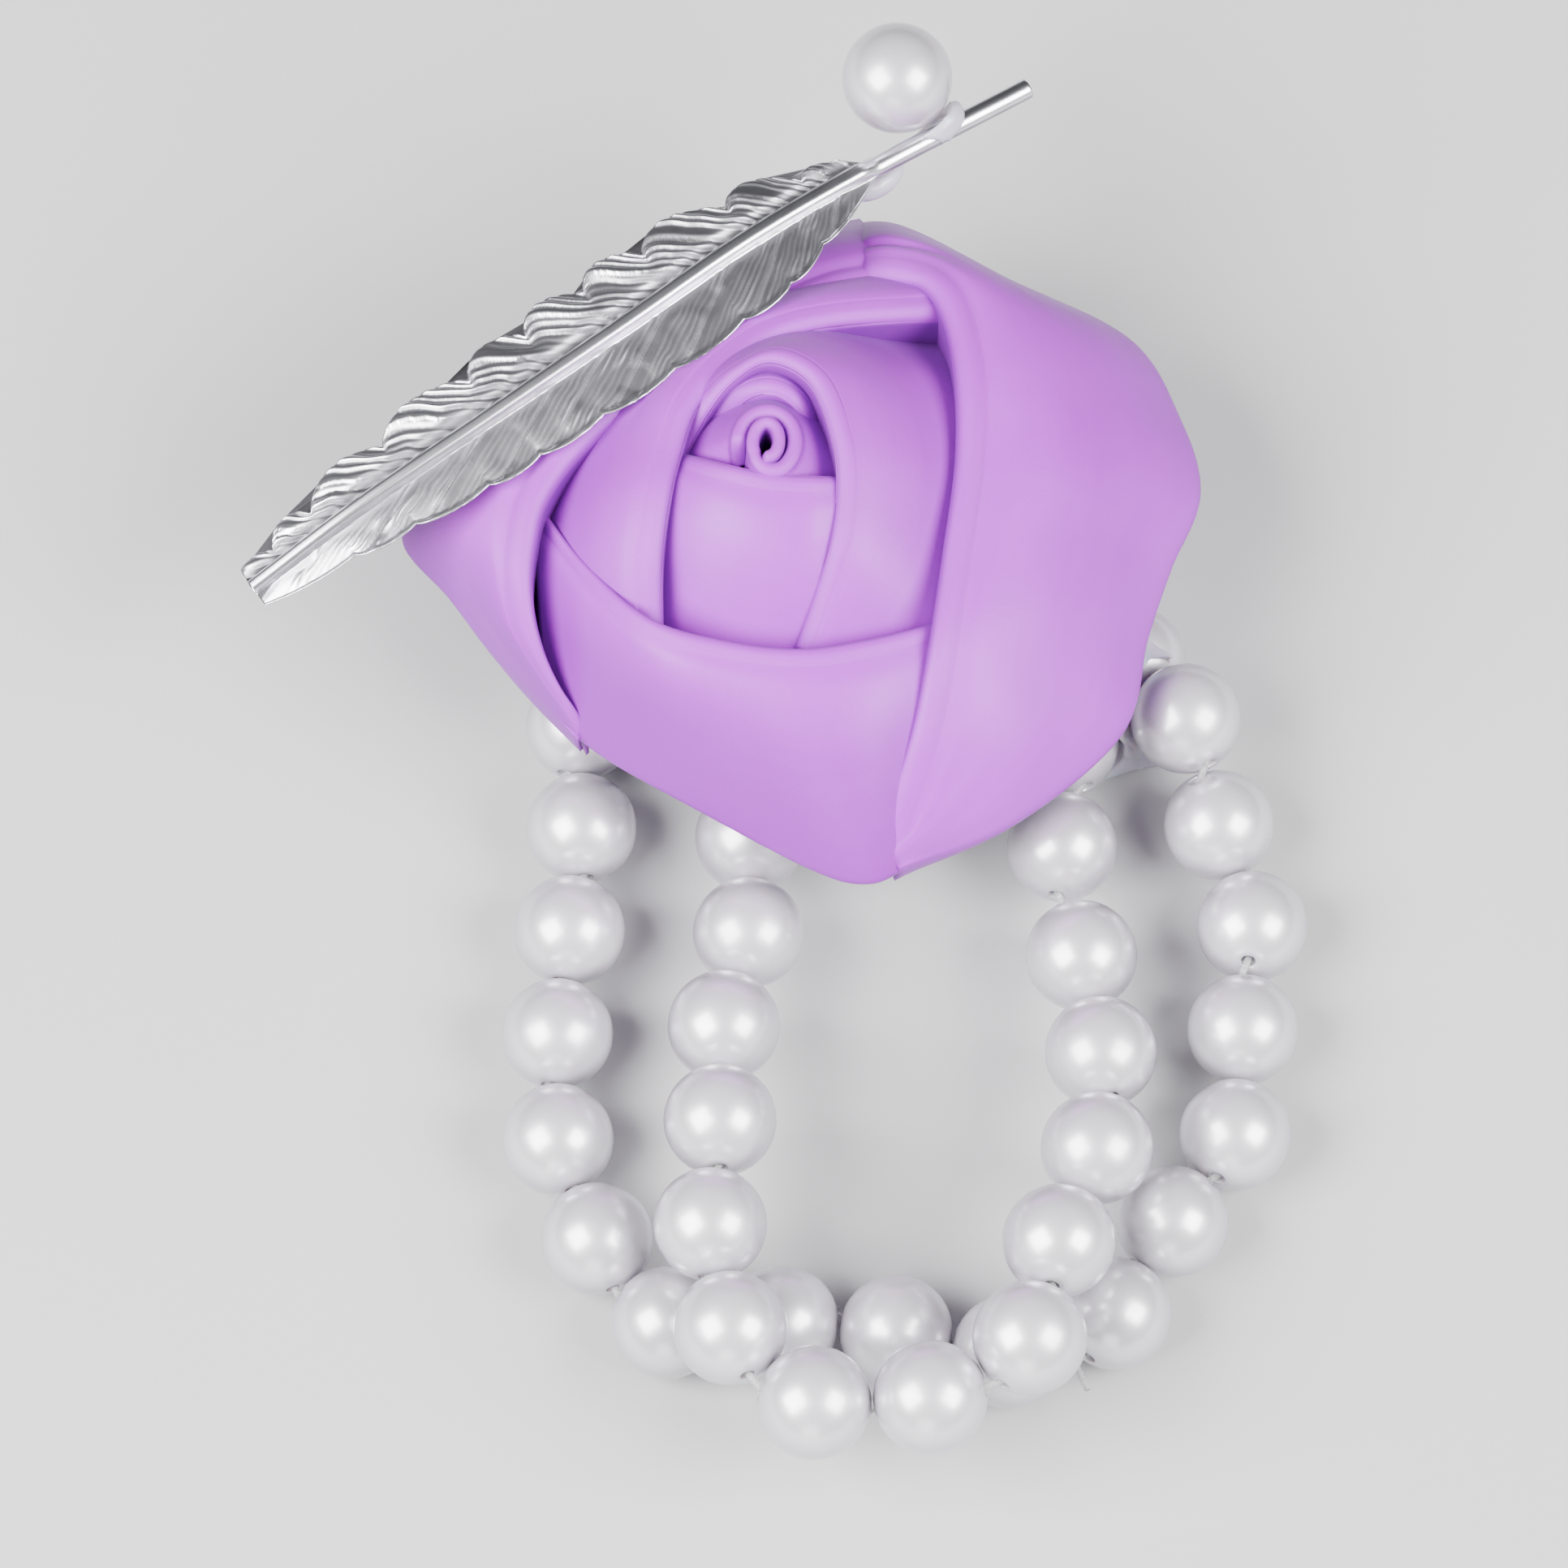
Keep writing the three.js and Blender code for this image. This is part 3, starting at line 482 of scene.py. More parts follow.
def curvePoint(points, t):
    # A point of the smooth line through the given ones
    along = t * (len(points) - 1)
    i = min(int(along), len(points) - 2)
    f = along - i
    p1, p2 = points[i], points[i + 1]
    p0 = points[i - 1] if i > 0 else p1 * 2 - p2
    p3 = points[i + 2] if i + 2 < len(points) else p2 * 2 - p1
    bend = (p0 * 2 - p1 * 5 + p2 * 4 - p3) * (f * f) + (p1 * 3 - p0 - p2 * 3 + p3) * f**3
    return (p1 * 2 + (p2 - p0) * f + bend) * 0.5


def shareAt(shares, t):
    along = t * (len(shares) - 1)
    i = min(int(along), len(shares) - 2)
    f = along - i
    return shares[i] + (shares[i + 1] - shares[i]) * f


def smooth(low, high, value):
    f = min(max((value - low) / (high - low), 0), 1)
    return f * f * (3 - 2 * f)


def finishMesh(bm, name, material):
    mesh = bpy.data.meshes.new(name)
    bm.to_mesh(mesh)
    bm.free()
    mesh.materials.append(material)
    mesh.shade_smooth()
    piece = bpy.data.objects.new(name, mesh)
    scene.collection.objects.link(piece)
    return piece


def mergedCopy(mesh):
    bm = bmesh.new()
    bm.from_mesh(mesh)
    bmesh.ops.remove_doubles(bm, verts=bm.verts, dist=weld)
    return bm


def evaluatedMesh(piece):
    bpy.context.view_layer.update()
    graph = bpy.context.evaluated_depsgraph_get()
    return bpy.data.meshes.new_from_object(piece.evaluated_get(graph))


def settle(piece, body, slotName, *nodes):
    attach(piece, body)
    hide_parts(*nodes)


def nodeMiddle(node):
    # The mean of a node's corners, each counted once
    corners = {tuple(round(c, 7) for c in v.co) for v in frame["nodes"][node].data.vertices}
    return sum((Vector(c) for c in corners), Vector()) / len(corners)


# Pearls

pearlShape = {
    "diameter": 7.94 * mm,
    "bore": 1.05 * mm,
    "rimBevel": 0.1 * mm,
    "turnSteps": 48,
    "arcSteps": 26,
}
strandCounts = {"back": 23, "front": 18}


def pearlMesh():
    # Half a circle from rim to rim of the bore, closed by the bore's wall and spun round
    radius = pearlShape["diameter"] / 2
    rim = math.asin(pearlShape["bore"] / pearlShape["diameter"])
    bm = bmesh.new()
    line = []
    for step in range(pearlShape["arcSteps"] + 1):
        angle = rim + (math.pi - 2 * rim) * step / pearlShape["arcSteps"]
        line.append(bm.verts.new((radius * math.sin(angle), 0, -radius * math.cos(angle))))
    edges = [bm.edges.new(pair) for pair in zip(line, line[1:] + line[:1])]
    bmesh.ops.spin(
        bm,
        geom=line + edges,
        axis=up,
        cent=(0, 0, 0),
        angle=math.tau,
        steps=pearlShape["turnSteps"],
        use_merge=True,
    )
    bmesh.ops.remove_doubles(bm, verts=bm.verts, dist=weld)
    bmesh.ops.recalc_face_normals(bm, faces=bm.faces)
    rimRadius = pearlShape["bore"] / 2
    near = 0.01 * mm
    rims = [
        e for e in bm.edges
        if all(abs(v.co.xy.length - rimRadius) < near for v in e.verts)
        and abs(e.verts[0].co.z - e.verts[1].co.z) < near
    ]
    bmesh.ops.bevel(
        bm,
        geom=rims,
        offset=pearlShape["rimBevel"],
        affect="EDGES",
        segments=2,
        profile=0.5,
        material=-1,
    )
    return bm


joints = {joint["child"]: joint for joint in frame["joints"]}


def strandPearls(strand, count):
    # Each pearl's node, body, middle and bore direction, in the order of the strand
    nodes = [f"{strand}_pearl_{number:02d}" for number in range(1, count + 1)]
    middles = [nodeMiddle(node) for node in nodes]
    pearls = []
    for i, node in enumerate(nodes):
        joint = joints.get(node)
        if joint:
            pearls.append((node, node, Vector(joint["pos_m"]), Vector(joint["axis"]).normalized()))
        else:
            bore = (middles[(i + 1) % count] - middles[i - 1]).normalized()
            pearls.append((node, "root", middles[i], bore))
    return pearls


def makePearl(name, node, body, middle, bore):
    bm = pearlMaster.copy()
    turn = up.rotation_difference(bore).to_matrix().to_4x4()
    bmesh.ops.transform(bm, matrix=Matrix.Translation(middle) @ turn, verts=bm.verts)
    settle(finishMesh(bm, name, pearlMaterial), body, "pearl", node)


pearlMaster = pearlMesh()
strands = {strand: strandPearls(strand, count) for strand, count in strandCounts.items()}
for strand, pearls in strands.items():
    for node, body, middle, bore in pearls:
        makePearl(node.replace(f"{strand}_pearl", f"pearl_{strand}"), node, body, middle, bore)
print("stage: pearls")

# Elastic

elasticShape = {
    "diameter": 0.5 * mm,
    "sideSteps": 3,
    "gapSteps": 4,
    "mouth": 0.45,  # where it starts to bend, in diameters from a pearl's middle
    "bendHalf": 0.2 * mm,
    "knotAfter": {"back": 9, "front": 15},  # the pearl before the knot, counted from 0
    "knotOut": 0.2,  # how far the knot stands out of the ring, in pearl diameters
    "knotRadius": 0.42 * mm,
    "knotSteps": 32,
    "tail": 3.2 * mm,
    "tailStart": 0.3,
    "tailSteps": 6,
    "tailDrift": 0.15 * mm,
}


def tubeMesh(name, paths, radius, cyclic):
    # One mesh of round tubes along the given paths
    curve = bpy.data.curves.new(name, "CURVE")
    curve.dimensions = "3D"
    curve.bevel_depth = radius
    curve.bevel_resolution = elasticShape["sideSteps"]
    curve.use_fill_caps = True
    for path, closed in zip(paths, cyclic):
        spline = curve.splines.new("POLY")
        spline.points.add(len(path) - 1)
        for point, place in zip(spline.points, path):
            point.co = (*place, 1)
        spline.use_cyclic_u = closed
    holder = bpy.data.objects.new(name + "Line", curve)
    scene.collection.objects.link(holder)
    mesh = evaluatedMesh(holder)
    bpy.data.objects.remove(holder)
    bm = mergedCopy(mesh)
    bpy.data.meshes.remove(mesh)
    return bm


def loopPath(pearls):
    # Straight through each bore and bent at its mouths
    reach = pearlShape["diameter"] * elasticShape["mouth"]
    stops = []
    for _, _, middle, bore in pearls:
        stops += [middle - bore * reach, middle + bore * reach]
    path = []
    steps = elasticShape["gapSteps"]
    for a, b in zip(stops, stops[1:] + stops[:1]):
        for step in range(steps):
            path.append(a.lerp(b, step / steps))
    return path


def knotPath(place, outward, along):
    # An overhand knot drawn tight, then its cut tail
    radius, steps = elasticShape["knotRadius"], elasticShape["knotSteps"]
    across = outward.cross(along).normalized()
    path = []
    for step in range(steps + 1):
        a = math.tau * step / steps
        x = math.sin(a) + 2 * math.sin(2 * a)
        y = math.cos(a) - 2 * math.cos(2 * a)
        z = -math.sin(3 * a)
        path.append(place + (along * x + across * y + outward * z) * (radius / 2))
    tail = [place]
    start, steps = elasticShape["tailStart"], elasticShape["tailSteps"]
    for step in range(steps + 1):
        out = elasticShape["tail"] * (start + (1 - start) * step / steps)
        tail.append(place + outward * out + across * (elasticShape["tailDrift"] * step))
    return path, tail


def bendLine(strand):
    # The strand bends in the gaps before its lifting pearls: the points just before and after
    pearls = strands[strand]
    reach = pearlShape["diameter"] * elasticShape["mouth"]
    lifts = [node in joints and joints[node]["parent"] == f"{strand}_loop" for node, *_ in pearls]
    gaps = []
    for i, after in enumerate(pearls):
        if lifts[i] != lifts[i - 1]:
            before = pearls[i - 1]
            gaps.append((before[2] + before[3] * reach + after[2] - after[3] * reach) / 2)
    line = gaps[1] - gaps[0]
    half = Vector((line.y, -line.x, 0)).normalized() * elasticShape["bendHalf"]
    half *= -1 if half.y > 0 else 1
    middle = (gaps[0] + gaps[1]) / 2
    return middle - half, middle + half


def makeElastic(strand):
    pearls = strands[strand]
    knotAfter = elasticShape["knotAfter"][strand]
    before = pearls[knotAfter]
    after = pearls[(knotAfter + 1) % len(pearls)]
    bend = (before[2] + after[2]) / 2
    ringMiddle = sum((p[2] for p in pearls), Vector()) / len(pearls)
    along = (after[2] - before[2]).normalized()
    outward = (bend - ringMiddle) * Vector((1, 1, 0))
    outward = (outward - along * outward.dot(along)).normalized()
    knotPlace = bend + outward * (pearlShape["diameter"] * elasticShape["knotOut"])
    knot, tail = knotPath(knotPlace, outward, along)
    paths = [loopPath(pearls), knot, [bend, *tail]]
    radius = elasticShape["diameter"] / 2
    bm = tubeMesh(f"elastic_{strand}", paths, radius, [True, True, False])
    piece = finishMesh(bm, f"elastic_{strand}", elasticMaterial)
    start, end = bendLine(strand)
    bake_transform(piece)
    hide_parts(f"{strand}_elastic_loop", f"{strand}_elastic_glued")


for strand in strands:
    makeElastic(strand)
print("stage: elastic")

# Glue and plate

glueShape = {
    "voxel": 0.45 * mm,
    "dabVoxel": 0.22 * mm,
    "poolSmoothing": 34,
    "dabSmoothing": 6,
    "lumps": 5 * mm,
    "lumpRise": 0.9 * mm,
    "fineLumps": (3, 0.3),  # how many to a lump, and their share of its rise
    "lumpsFrom": (0.6 * mm, 2.4 * mm),  # heights between which the lumps come in
    "freeCorner": (23.6 * mm, -7 * mm),  # where the pool draws in beside the rose
    "cornerBlend": 3 * mm,
    "drawnIn": 0.4,
}
plateShape = {
    "cornerRound": 0.7 * mm,
    "cornerSteps": 6,
    "edgeBevel": 0.12 * mm,
    "edgeSteps": 2,
    "flatAngle": math.radians(1),
    "rimAngle": math.radians(60),
}


def remeshed(node, name, voxel, rounds, material):
    # A merged copy of the node, filled to even faces and smoothed to a poured form
    piece = finishMesh(mergedCopy(frame["nodes"][node].data), name, material)
    even = piece.modifiers.new("even", "REMESH")
    even.mode = "VOXEL"
    even.voxel_size = voxel
    done = evaluatedMesh(piece)
    piece.modifiers.clear()
    bm = bmesh.new()
    bm.from_mesh(done)
    for _ in range(rounds):
        bmesh.ops.smooth_vert(
            bm, verts=bm.verts, factor=0.5, use_axis_x=True, use_axis_y=True, use_axis_z=True
        )
    bm.to_mesh(done)
    bm.free()
    done.shade_smooth()
    if not done.materials:
        done.materials.append(material)
    old = piece.data
    piece.data = done
    bpy.data.meshes.remove(old)
    return piece


def shapePool(mesh):
    # Poured glue sets in low lumps over its flat underside, and draws in at its free corner
    edgeX, edgeY = glueShape["freeCorner"]
    size, (times, fine) = glueShape["lumps"], glueShape["fineLumps"]
    normals = [vert.normal.copy() for vert in mesh.vertices]
    for vert, normal in zip(mesh.vertices, normals):
        spot = vert.co.copy()
        free = smooth(*glueShape["lumpsFrom"], spot.z)
        lump = noise.noise(spot / size) + fine * noise.noise(spot * times / size)
        spot += normal * (lump * glueShape["lumpRise"] * free)
        if spot.x > edgeX:
            share = smooth(edgeY, edgeY + glueShape["cornerBlend"], spot.y)
            spot.x -= (spot.x - edgeX) * (1 - glueShape["drawnIn"]) * share
        vert.co = spot


def makeGlue():
    for node, name, voxel, rounds in (
        ("glue_bed", "glue_pool", glueShape["voxel"], glueShape["poolSmoothing"]),
        ("pearl_glue", "glue_collar", glueShape["dabVoxel"], glueShape["dabSmoothing"]),
        ("quill_glue", "glue_dab", glueShape["dabVoxel"], glueShape["dabSmoothing"]),
    ):
        piece = remeshed(node, name, voxel, rounds, glueMaterial)
        if node == "glue_bed":
            shapePool(piece.data)
        settle(piece, "root", "glue", node)


def makePlate():
    # The node's own box with rounded corners and eased edges
    bm = mergedCopy(frame["nodes"]["backing_plate"].data)
    shape, ways = plateShape, {"affect": "EDGES", "profile": 0.5, "material": -1}
    bmesh.ops.dissolve_limit(bm, angle_limit=shape["flatAngle"], verts=bm.verts, edges=bm.edges)
    corners = [e for e in bm.edges if abs((e.verts[0].co - e.verts[1].co).normalized().z) > 0.9]
    bmesh.ops.bevel(bm, geom=corners, offset=shape["cornerRound"], segments=shape["cornerSteps"], **ways)
    rims = [e for e in bm.edges if len(e.link_faces) == 2 and e.calc_face_angle() > shape["rimAngle"]]
    bmesh.ops.bevel(bm, geom=rims, offset=shape["edgeBevel"], segments=shape["edgeSteps"], **ways)
    settle(finishMesh(bm, "clear_plate", plateMaterial), "root", "plate", "backing_plate")


makeGlue()
makePlate()
print("stage: glue and plate")

# Rose and feather sizes

roseShape = {
    "radius": 28 * mm,
    "height": 20 * mm,
    "base": 10.5 * mm,
    "satin": 0.3 * mm,
    "underturn": 3.6 * mm,
    "underFeather": 0.25 * mm,
    "along": 110,
    "across": 60,
}


def rosePlace(shares):
    x, y, z = shares
    radius = roseShape["radius"]
    return Vector((x * radius, y * radius, roseShape["base"] + z * roseShape["height"]))


# Feather

# The midline from the quill's cut end to the tail: along and aside from the seat in shares of
# the feather's length, z in shares of the rose's height above the plate
rachisShares = [
    (-0.523, -0.002, 0.675), (-0.332, -0.009, 0.725), (-0.166, -0.007, 0.77), (0, 0, 0.75),
    (0.174, 0.002, 0.69), (0.336, 0, 0.6), (0.471, -0.002, 0.46),
]
featherShape = {
    "seat": (-0.45, 0.431),
    "angle": 214.5,
    "length": 67 * mm,
    "vaneWidth": 5.2 * mm,
    "vaneStart": 0.2,  # share of the midline that is bare quill
    "quillRadius": 0.75 * mm,
    "rachisRadius": (0.78 * mm, 0.62 * mm),
    "rachisRise": 1.15 * mm,
    "edgeThickness": 0.22 * mm,
    "underside": 0.4 * mm,
    "farWidths": [0.16, 0.5, 0.72, 0.84, 0.86, 0.84, 0.78, 0.72, 0.62, 0.45, 0.26],
    "nearWidths": [0.16, 0.62, 0.96, 1, 1, 0.96, 0.92, 0.84, 0.7, 0.52, 0.3],
    # Where the tufts part at the vane's edge, in shares of the vane's length
    "farTufts": [-0.02, 0.09, 0.195, 0.322, 0.418, 0.515, 0.61, 0.754, 0.88, 0.949, 1.02],
    "nearTufts": [-0.02, 0.12, 0.19, 0.273, 0.385, 0.495, 0.593, 0.67, 0.777, 0.864, 1.02],
    "crest": 0.6,  # where a tuft is widest, as a share of the tuft
    "tuftCurves": (0.8, 0.6),
    "stations": 560,
    "topColumns": 84,
    "underColumns": 20,
    "midlineSamples": 600,
}
# Per side: slant of the barbs, their pitch along the midline, their relief, the tufts' lap over
# each other, the scallops of the edge, and the dome, border and valley beside the shaft
barbShapes = {
    "far": {
        "slant": 1.45, "pitch": 1.1 * mm, "relief": 0.36 * mm, "lap": 0.16 * mm, "scallop": 1.4 * mm,
        "recess": 1, "dome": 0.4 * mm, "border": 0, "valley": 0.3 * mm, "valleyDark": 0.85, "seed": 7,
    },
    "near": {
        "slant": 1.6, "pitch": 0.85 * mm, "relief": 0.12 * mm, "lap": 0.08 * mm, "scallop": 0.5 * mm,
        "recess": 0.6, "dome": 0.12 * mm, "border": 0.12 * mm, "valley": 0.02 * mm, "valleyDark": 0.1,
        "seed": 3,
    },
}
engraving = {
    "lean": 0.12,  # how much more the barbs slant at the edge
    "wobble": (40, 3, 0.3),  # waves along and across, and their size in barbs
    "faint": 0.55,  # relief of the faintest barb
    "patches": (22, 2.5, 11),  # the near side's strokes come and go: waves along and across, seed
    "patchEdge": 0.35,
    "ridge": 0.7,
    "lastBarb": (0.72, 0.8),  # the last barb of a tuft is broad and plain
    "lapCurve": 1.4,
    "lapEnd": 0.88,
    "fade": (0.04, 0.22),
    "borderFrom": (0.9, 0.95),
    "groove": 1.1,
    "tipGap": 0.96,
    "notchGap": 0.1,
    "notchDark": 0.9,
    "notchFade": (0.6, 0.95),
}
sectionShape = {
    "open": (-0.012, 0.02),  # where the round quill opens into the vane
    "crowding": 1.15,  # columns crowd where the ridge is, so that it stays round
    "scallopFrom": (0.45, 1),
    "ridge": 3,
    "ridgeBlend": (-0.02 * mm, 0.08 * mm),
    "dome": 0.8,
    "valleyOut": 1.25,
    "valleyWidth": 0.5 * mm,
    "hollow": 3,
    "underDark": 0.25,
}


def arcTable(points, samples):
    # Places along the smooth line, and how far along it each one lies
    raw = [curvePoint(points, i / samples) for i in range(samples + 1)]
    lengths = [0.0]
    for a, b in zip(raw, raw[1:]):
        lengths.append(lengths[-1] + (b - a).length)
    return raw, lengths


class Rachis:
    def __init__(self):
        size = featherShape["length"]
        angle = math.radians(featherShape["angle"])
        ahead = Vector((math.cos(angle), math.sin(angle), 0))
        aside = Vector((-ahead.y, ahead.x, 0))
        points = []
        for along, away, high in rachisShares:
            seat = rosePlace((*featherShape["seat"], high))
            points.append(seat + ahead * (along * size) + aside * (away * size))
        self.raw, self.lengths = arcTable(points, featherShape["midlineSamples"])
        self.total = self.lengths[-1]

    def at(self, share):
        want = min(max(share, 0), 1) * self.total
        low, high = 0, len(self.lengths) - 1
        while high - low > 1:
            middle = (low + high) // 2
            if self.lengths[middle] <= want:
                low = middle
            else:
                high = middle
        f = (want - self.lengths[low]) / (self.lengths[high] - self.lengths[low])
        return self.raw[low].lerp(self.raw[high], f)

    def frameAt(self, share):
        # Towards the near side, and up from the vane
        step = 0.004
        direction = (self.at(share + step) - self.at(share - step)).normalized()
        near = -direction.cross(up).normalized()
        above = direction.cross(near).normalized()
        return near, above if above.z > 0 else -above


rachis = Rachis()


def tuftAt(bounds, share):
    # Which tuft a place belongs to, and how far through it, from 0 to 1
    for i in range(len(bounds) - 1):
        if share < bounds[i + 1]:
            return i, max((share - bounds[i]) / (bounds[i + 1] - bounds[i]), 0)
    return len(bounds) - 2, 1.0


def tuftSwell(through):
    # A tuft swells along its barbs from the notch and rounds off steeply at its tip
    crest, (rise, fall) = featherShape["crest"], featherShape["tuftCurves"]
    if through < crest:
        return math.sin(math.pi / 2 * through / crest) ** rise
    return max(math.cos(math.pi / 2 * (through - crest) / (1 - crest)), 0) ** fall


def barbHeight(side, vaneShare, outShare, width):
    # Height of the engraved face over its own plane, and how dark the recess is
    shape, cut = barbShapes[side], engraving
    vaneLength = rachis.total * (1 - featherShape["vaneStart"])
    out = outShare * width
    lean = shape["slant"] * out * (1 + cut["lean"] * outShare)
    lean -= shape["slant"] * width * (1 + cut["lean"])
    rooted = vaneShare - lean / vaneLength
    tuft, through = tuftAt(featherShape[side + "Tufts"], rooted)
    waves, acrossWaves, amount = cut["wobble"]
    wobble = noise.noise(Vector((vaneShare * waves, outShare * acrossWaves, shape["seed"])))
    phase = (rooted * vaneLength) / shape["pitch"] + wobble * amount
    barb = math.floor(phase)
    strength = cut["faint"] + (1 - cut["faint"]) * noise.cell(Vector((barb, tuft, 2.5)))
    if side == "near":
        waves, acrossWaves, seed = cut["patches"]
        patch = noise.noise(Vector((vaneShare * waves, outShare * acrossWaves, seed)))
        strength *= smooth(-cut["patchEdge"], cut["patchEdge"], patch)
    ridge = abs(math.sin(math.pi * phase)) ** cut["ridge"]
    ridge += (1 - ridge) * smooth(*cut["lastBarb"], through)
    lap = shape["lap"] * through ** cut["lapCurve"] * (1 - smooth(cut["lapEnd"], 1, through))
    fade = smooth(*cut["fade"], outShare)
    height = fade * (shape["relief"] * ridge * strength + lap)
    height += shape["border"] * smooth(*cut["borderFrom"], outShare)
    groove = (1 - ridge) ** cut["groove"] * (1 + strength) / 2 * shape["recess"]
    notch = (1 - smooth(0, cut["notchGap"], through)) * (1 - smooth(*cut["notchFade"], outShare))
    gap = smooth(cut["tipGap"], 1, through) + cut["notchDark"] * notch
    return height, min(max(groove, gap), 1) * fade


def topHeight(side, inVane, spread, width, out):
    # Height and darkness of the cast face: the shaft's ridge, or the vane where it is higher
    shape, section = barbShapes[side], sectionShape
    shaft = shareAt(featherShape["rachisRadius"], inVane)
    ridge = math.sqrt(max(1 - (out / shaft) ** section["ridge"], 0)) * featherShape["rachisRise"]
    barbs, dark = barbHeight(side, inVane, spread, width)
    dome = math.sin(math.pi * min(spread, 1) ** section["dome"]) * shape["dome"]
    valley = math.exp(-(((out - shaft * section["valleyOut"]) / section["valleyWidth"]) ** 2))
    plain = featherShape["edgeThickness"] + dome - valley * shape["valley"] + barbs
    onRidge = smooth(*section["ridgeBlend"], ridge - plain)
    return max(plain, ridge), max(dark, valley * shape["valleyDark"]) * (1 - onRidge)


def featherPoint(share, turn):
    # turn runs once round the section: over the top from the far edge to the near one, and back
    topColumns, underColumns = featherShape["topColumns"], featherShape["underColumns"]
    column = round(turn * (topColumns + underColumns))
    onTop = column <= topColumns
    across = -1 + 2 * column / topColumns if onTop else 1 - 2 * (column - topColumns) / underColumns
    side = "far" if across < 0 else "near"
    reach = abs(across)
    section, quill = sectionShape, featherShape["quillRadius"]
    vaneShare = (share - featherShape["vaneStart"]) / (1 - featherShape["vaneStart"])
    inVane = min(max(vaneShare, 0), 1)
    opened = smooth(*section["open"], vaneShare)
    width = shareAt(featherShape[side + "Widths"], inVane) * featherShape["vaneWidth"]
    swell = tuftSwell(tuftAt(featherShape[side + "Tufts"], inVane)[1]) - 0.5
    scallop = swell * barbShapes[side]["scallop"] * smooth(0, 0.5, width / featherShape["vaneWidth"])
    spread = reach ** section["crowding"]
    out = spread * width + scallop * smooth(*section["scallopFrom"], spread)
    roundHeight = math.sqrt(max(1 - reach**2, 0)) * quill
    if onTop:
        height, dark = topHeight(side, inVane, spread, width, out)
        height = roundHeight + (height - roundHeight) * opened
    else:
        hollow = featherShape["underside"] * math.sqrt(max(1 - spread ** section["hollow"], 0))
        height = -(roundHeight + (hollow - roundHeight) * opened)
        dark = section["underDark"] * opened
    out = reach * quill + (out - reach * quill) * opened
    near, above = rachis.frameAt(share)
    return rachis.at(share) + near * (-out if across < 0 else out) + above * height, dark


def makeFeather():
    bm = bmesh.new()
    patina = bm.verts.layers.float.new("patina")
    stations = featherShape["stations"]
    columns = featherShape["topColumns"] + featherShape["underColumns"]
    bmesh.ops.create_grid(bm, x_segments=stations, y_segments=columns, size=0.5)
    for vert in bm.verts:
        vert.co, vert[patina] = featherPoint(vert.co.x + 0.5, vert.co.y + 0.5)
    bmesh.ops.remove_doubles(bm, verts=bm.verts, dist=2 * weld)
    rims = [e for e in bm.edges if e.is_boundary]
    bmesh.ops.holes_fill(bm, edges=rims, sides=0)
    bmesh.ops.recalc_face_normals(bm, faces=bm.faces)
    tree = BVHTree.FromBMesh(bm)
    settle(finishMesh(bm, "silver_feather", silverMaterial), "root", "silver", "feather")
    return tree


featherTree = makeFeather()
makePearl("pearl_quill", "feather_pearl", "root", nodeMiddle("feather_pearl"), Vector((1, 0, 0)))
print("stage: feather")
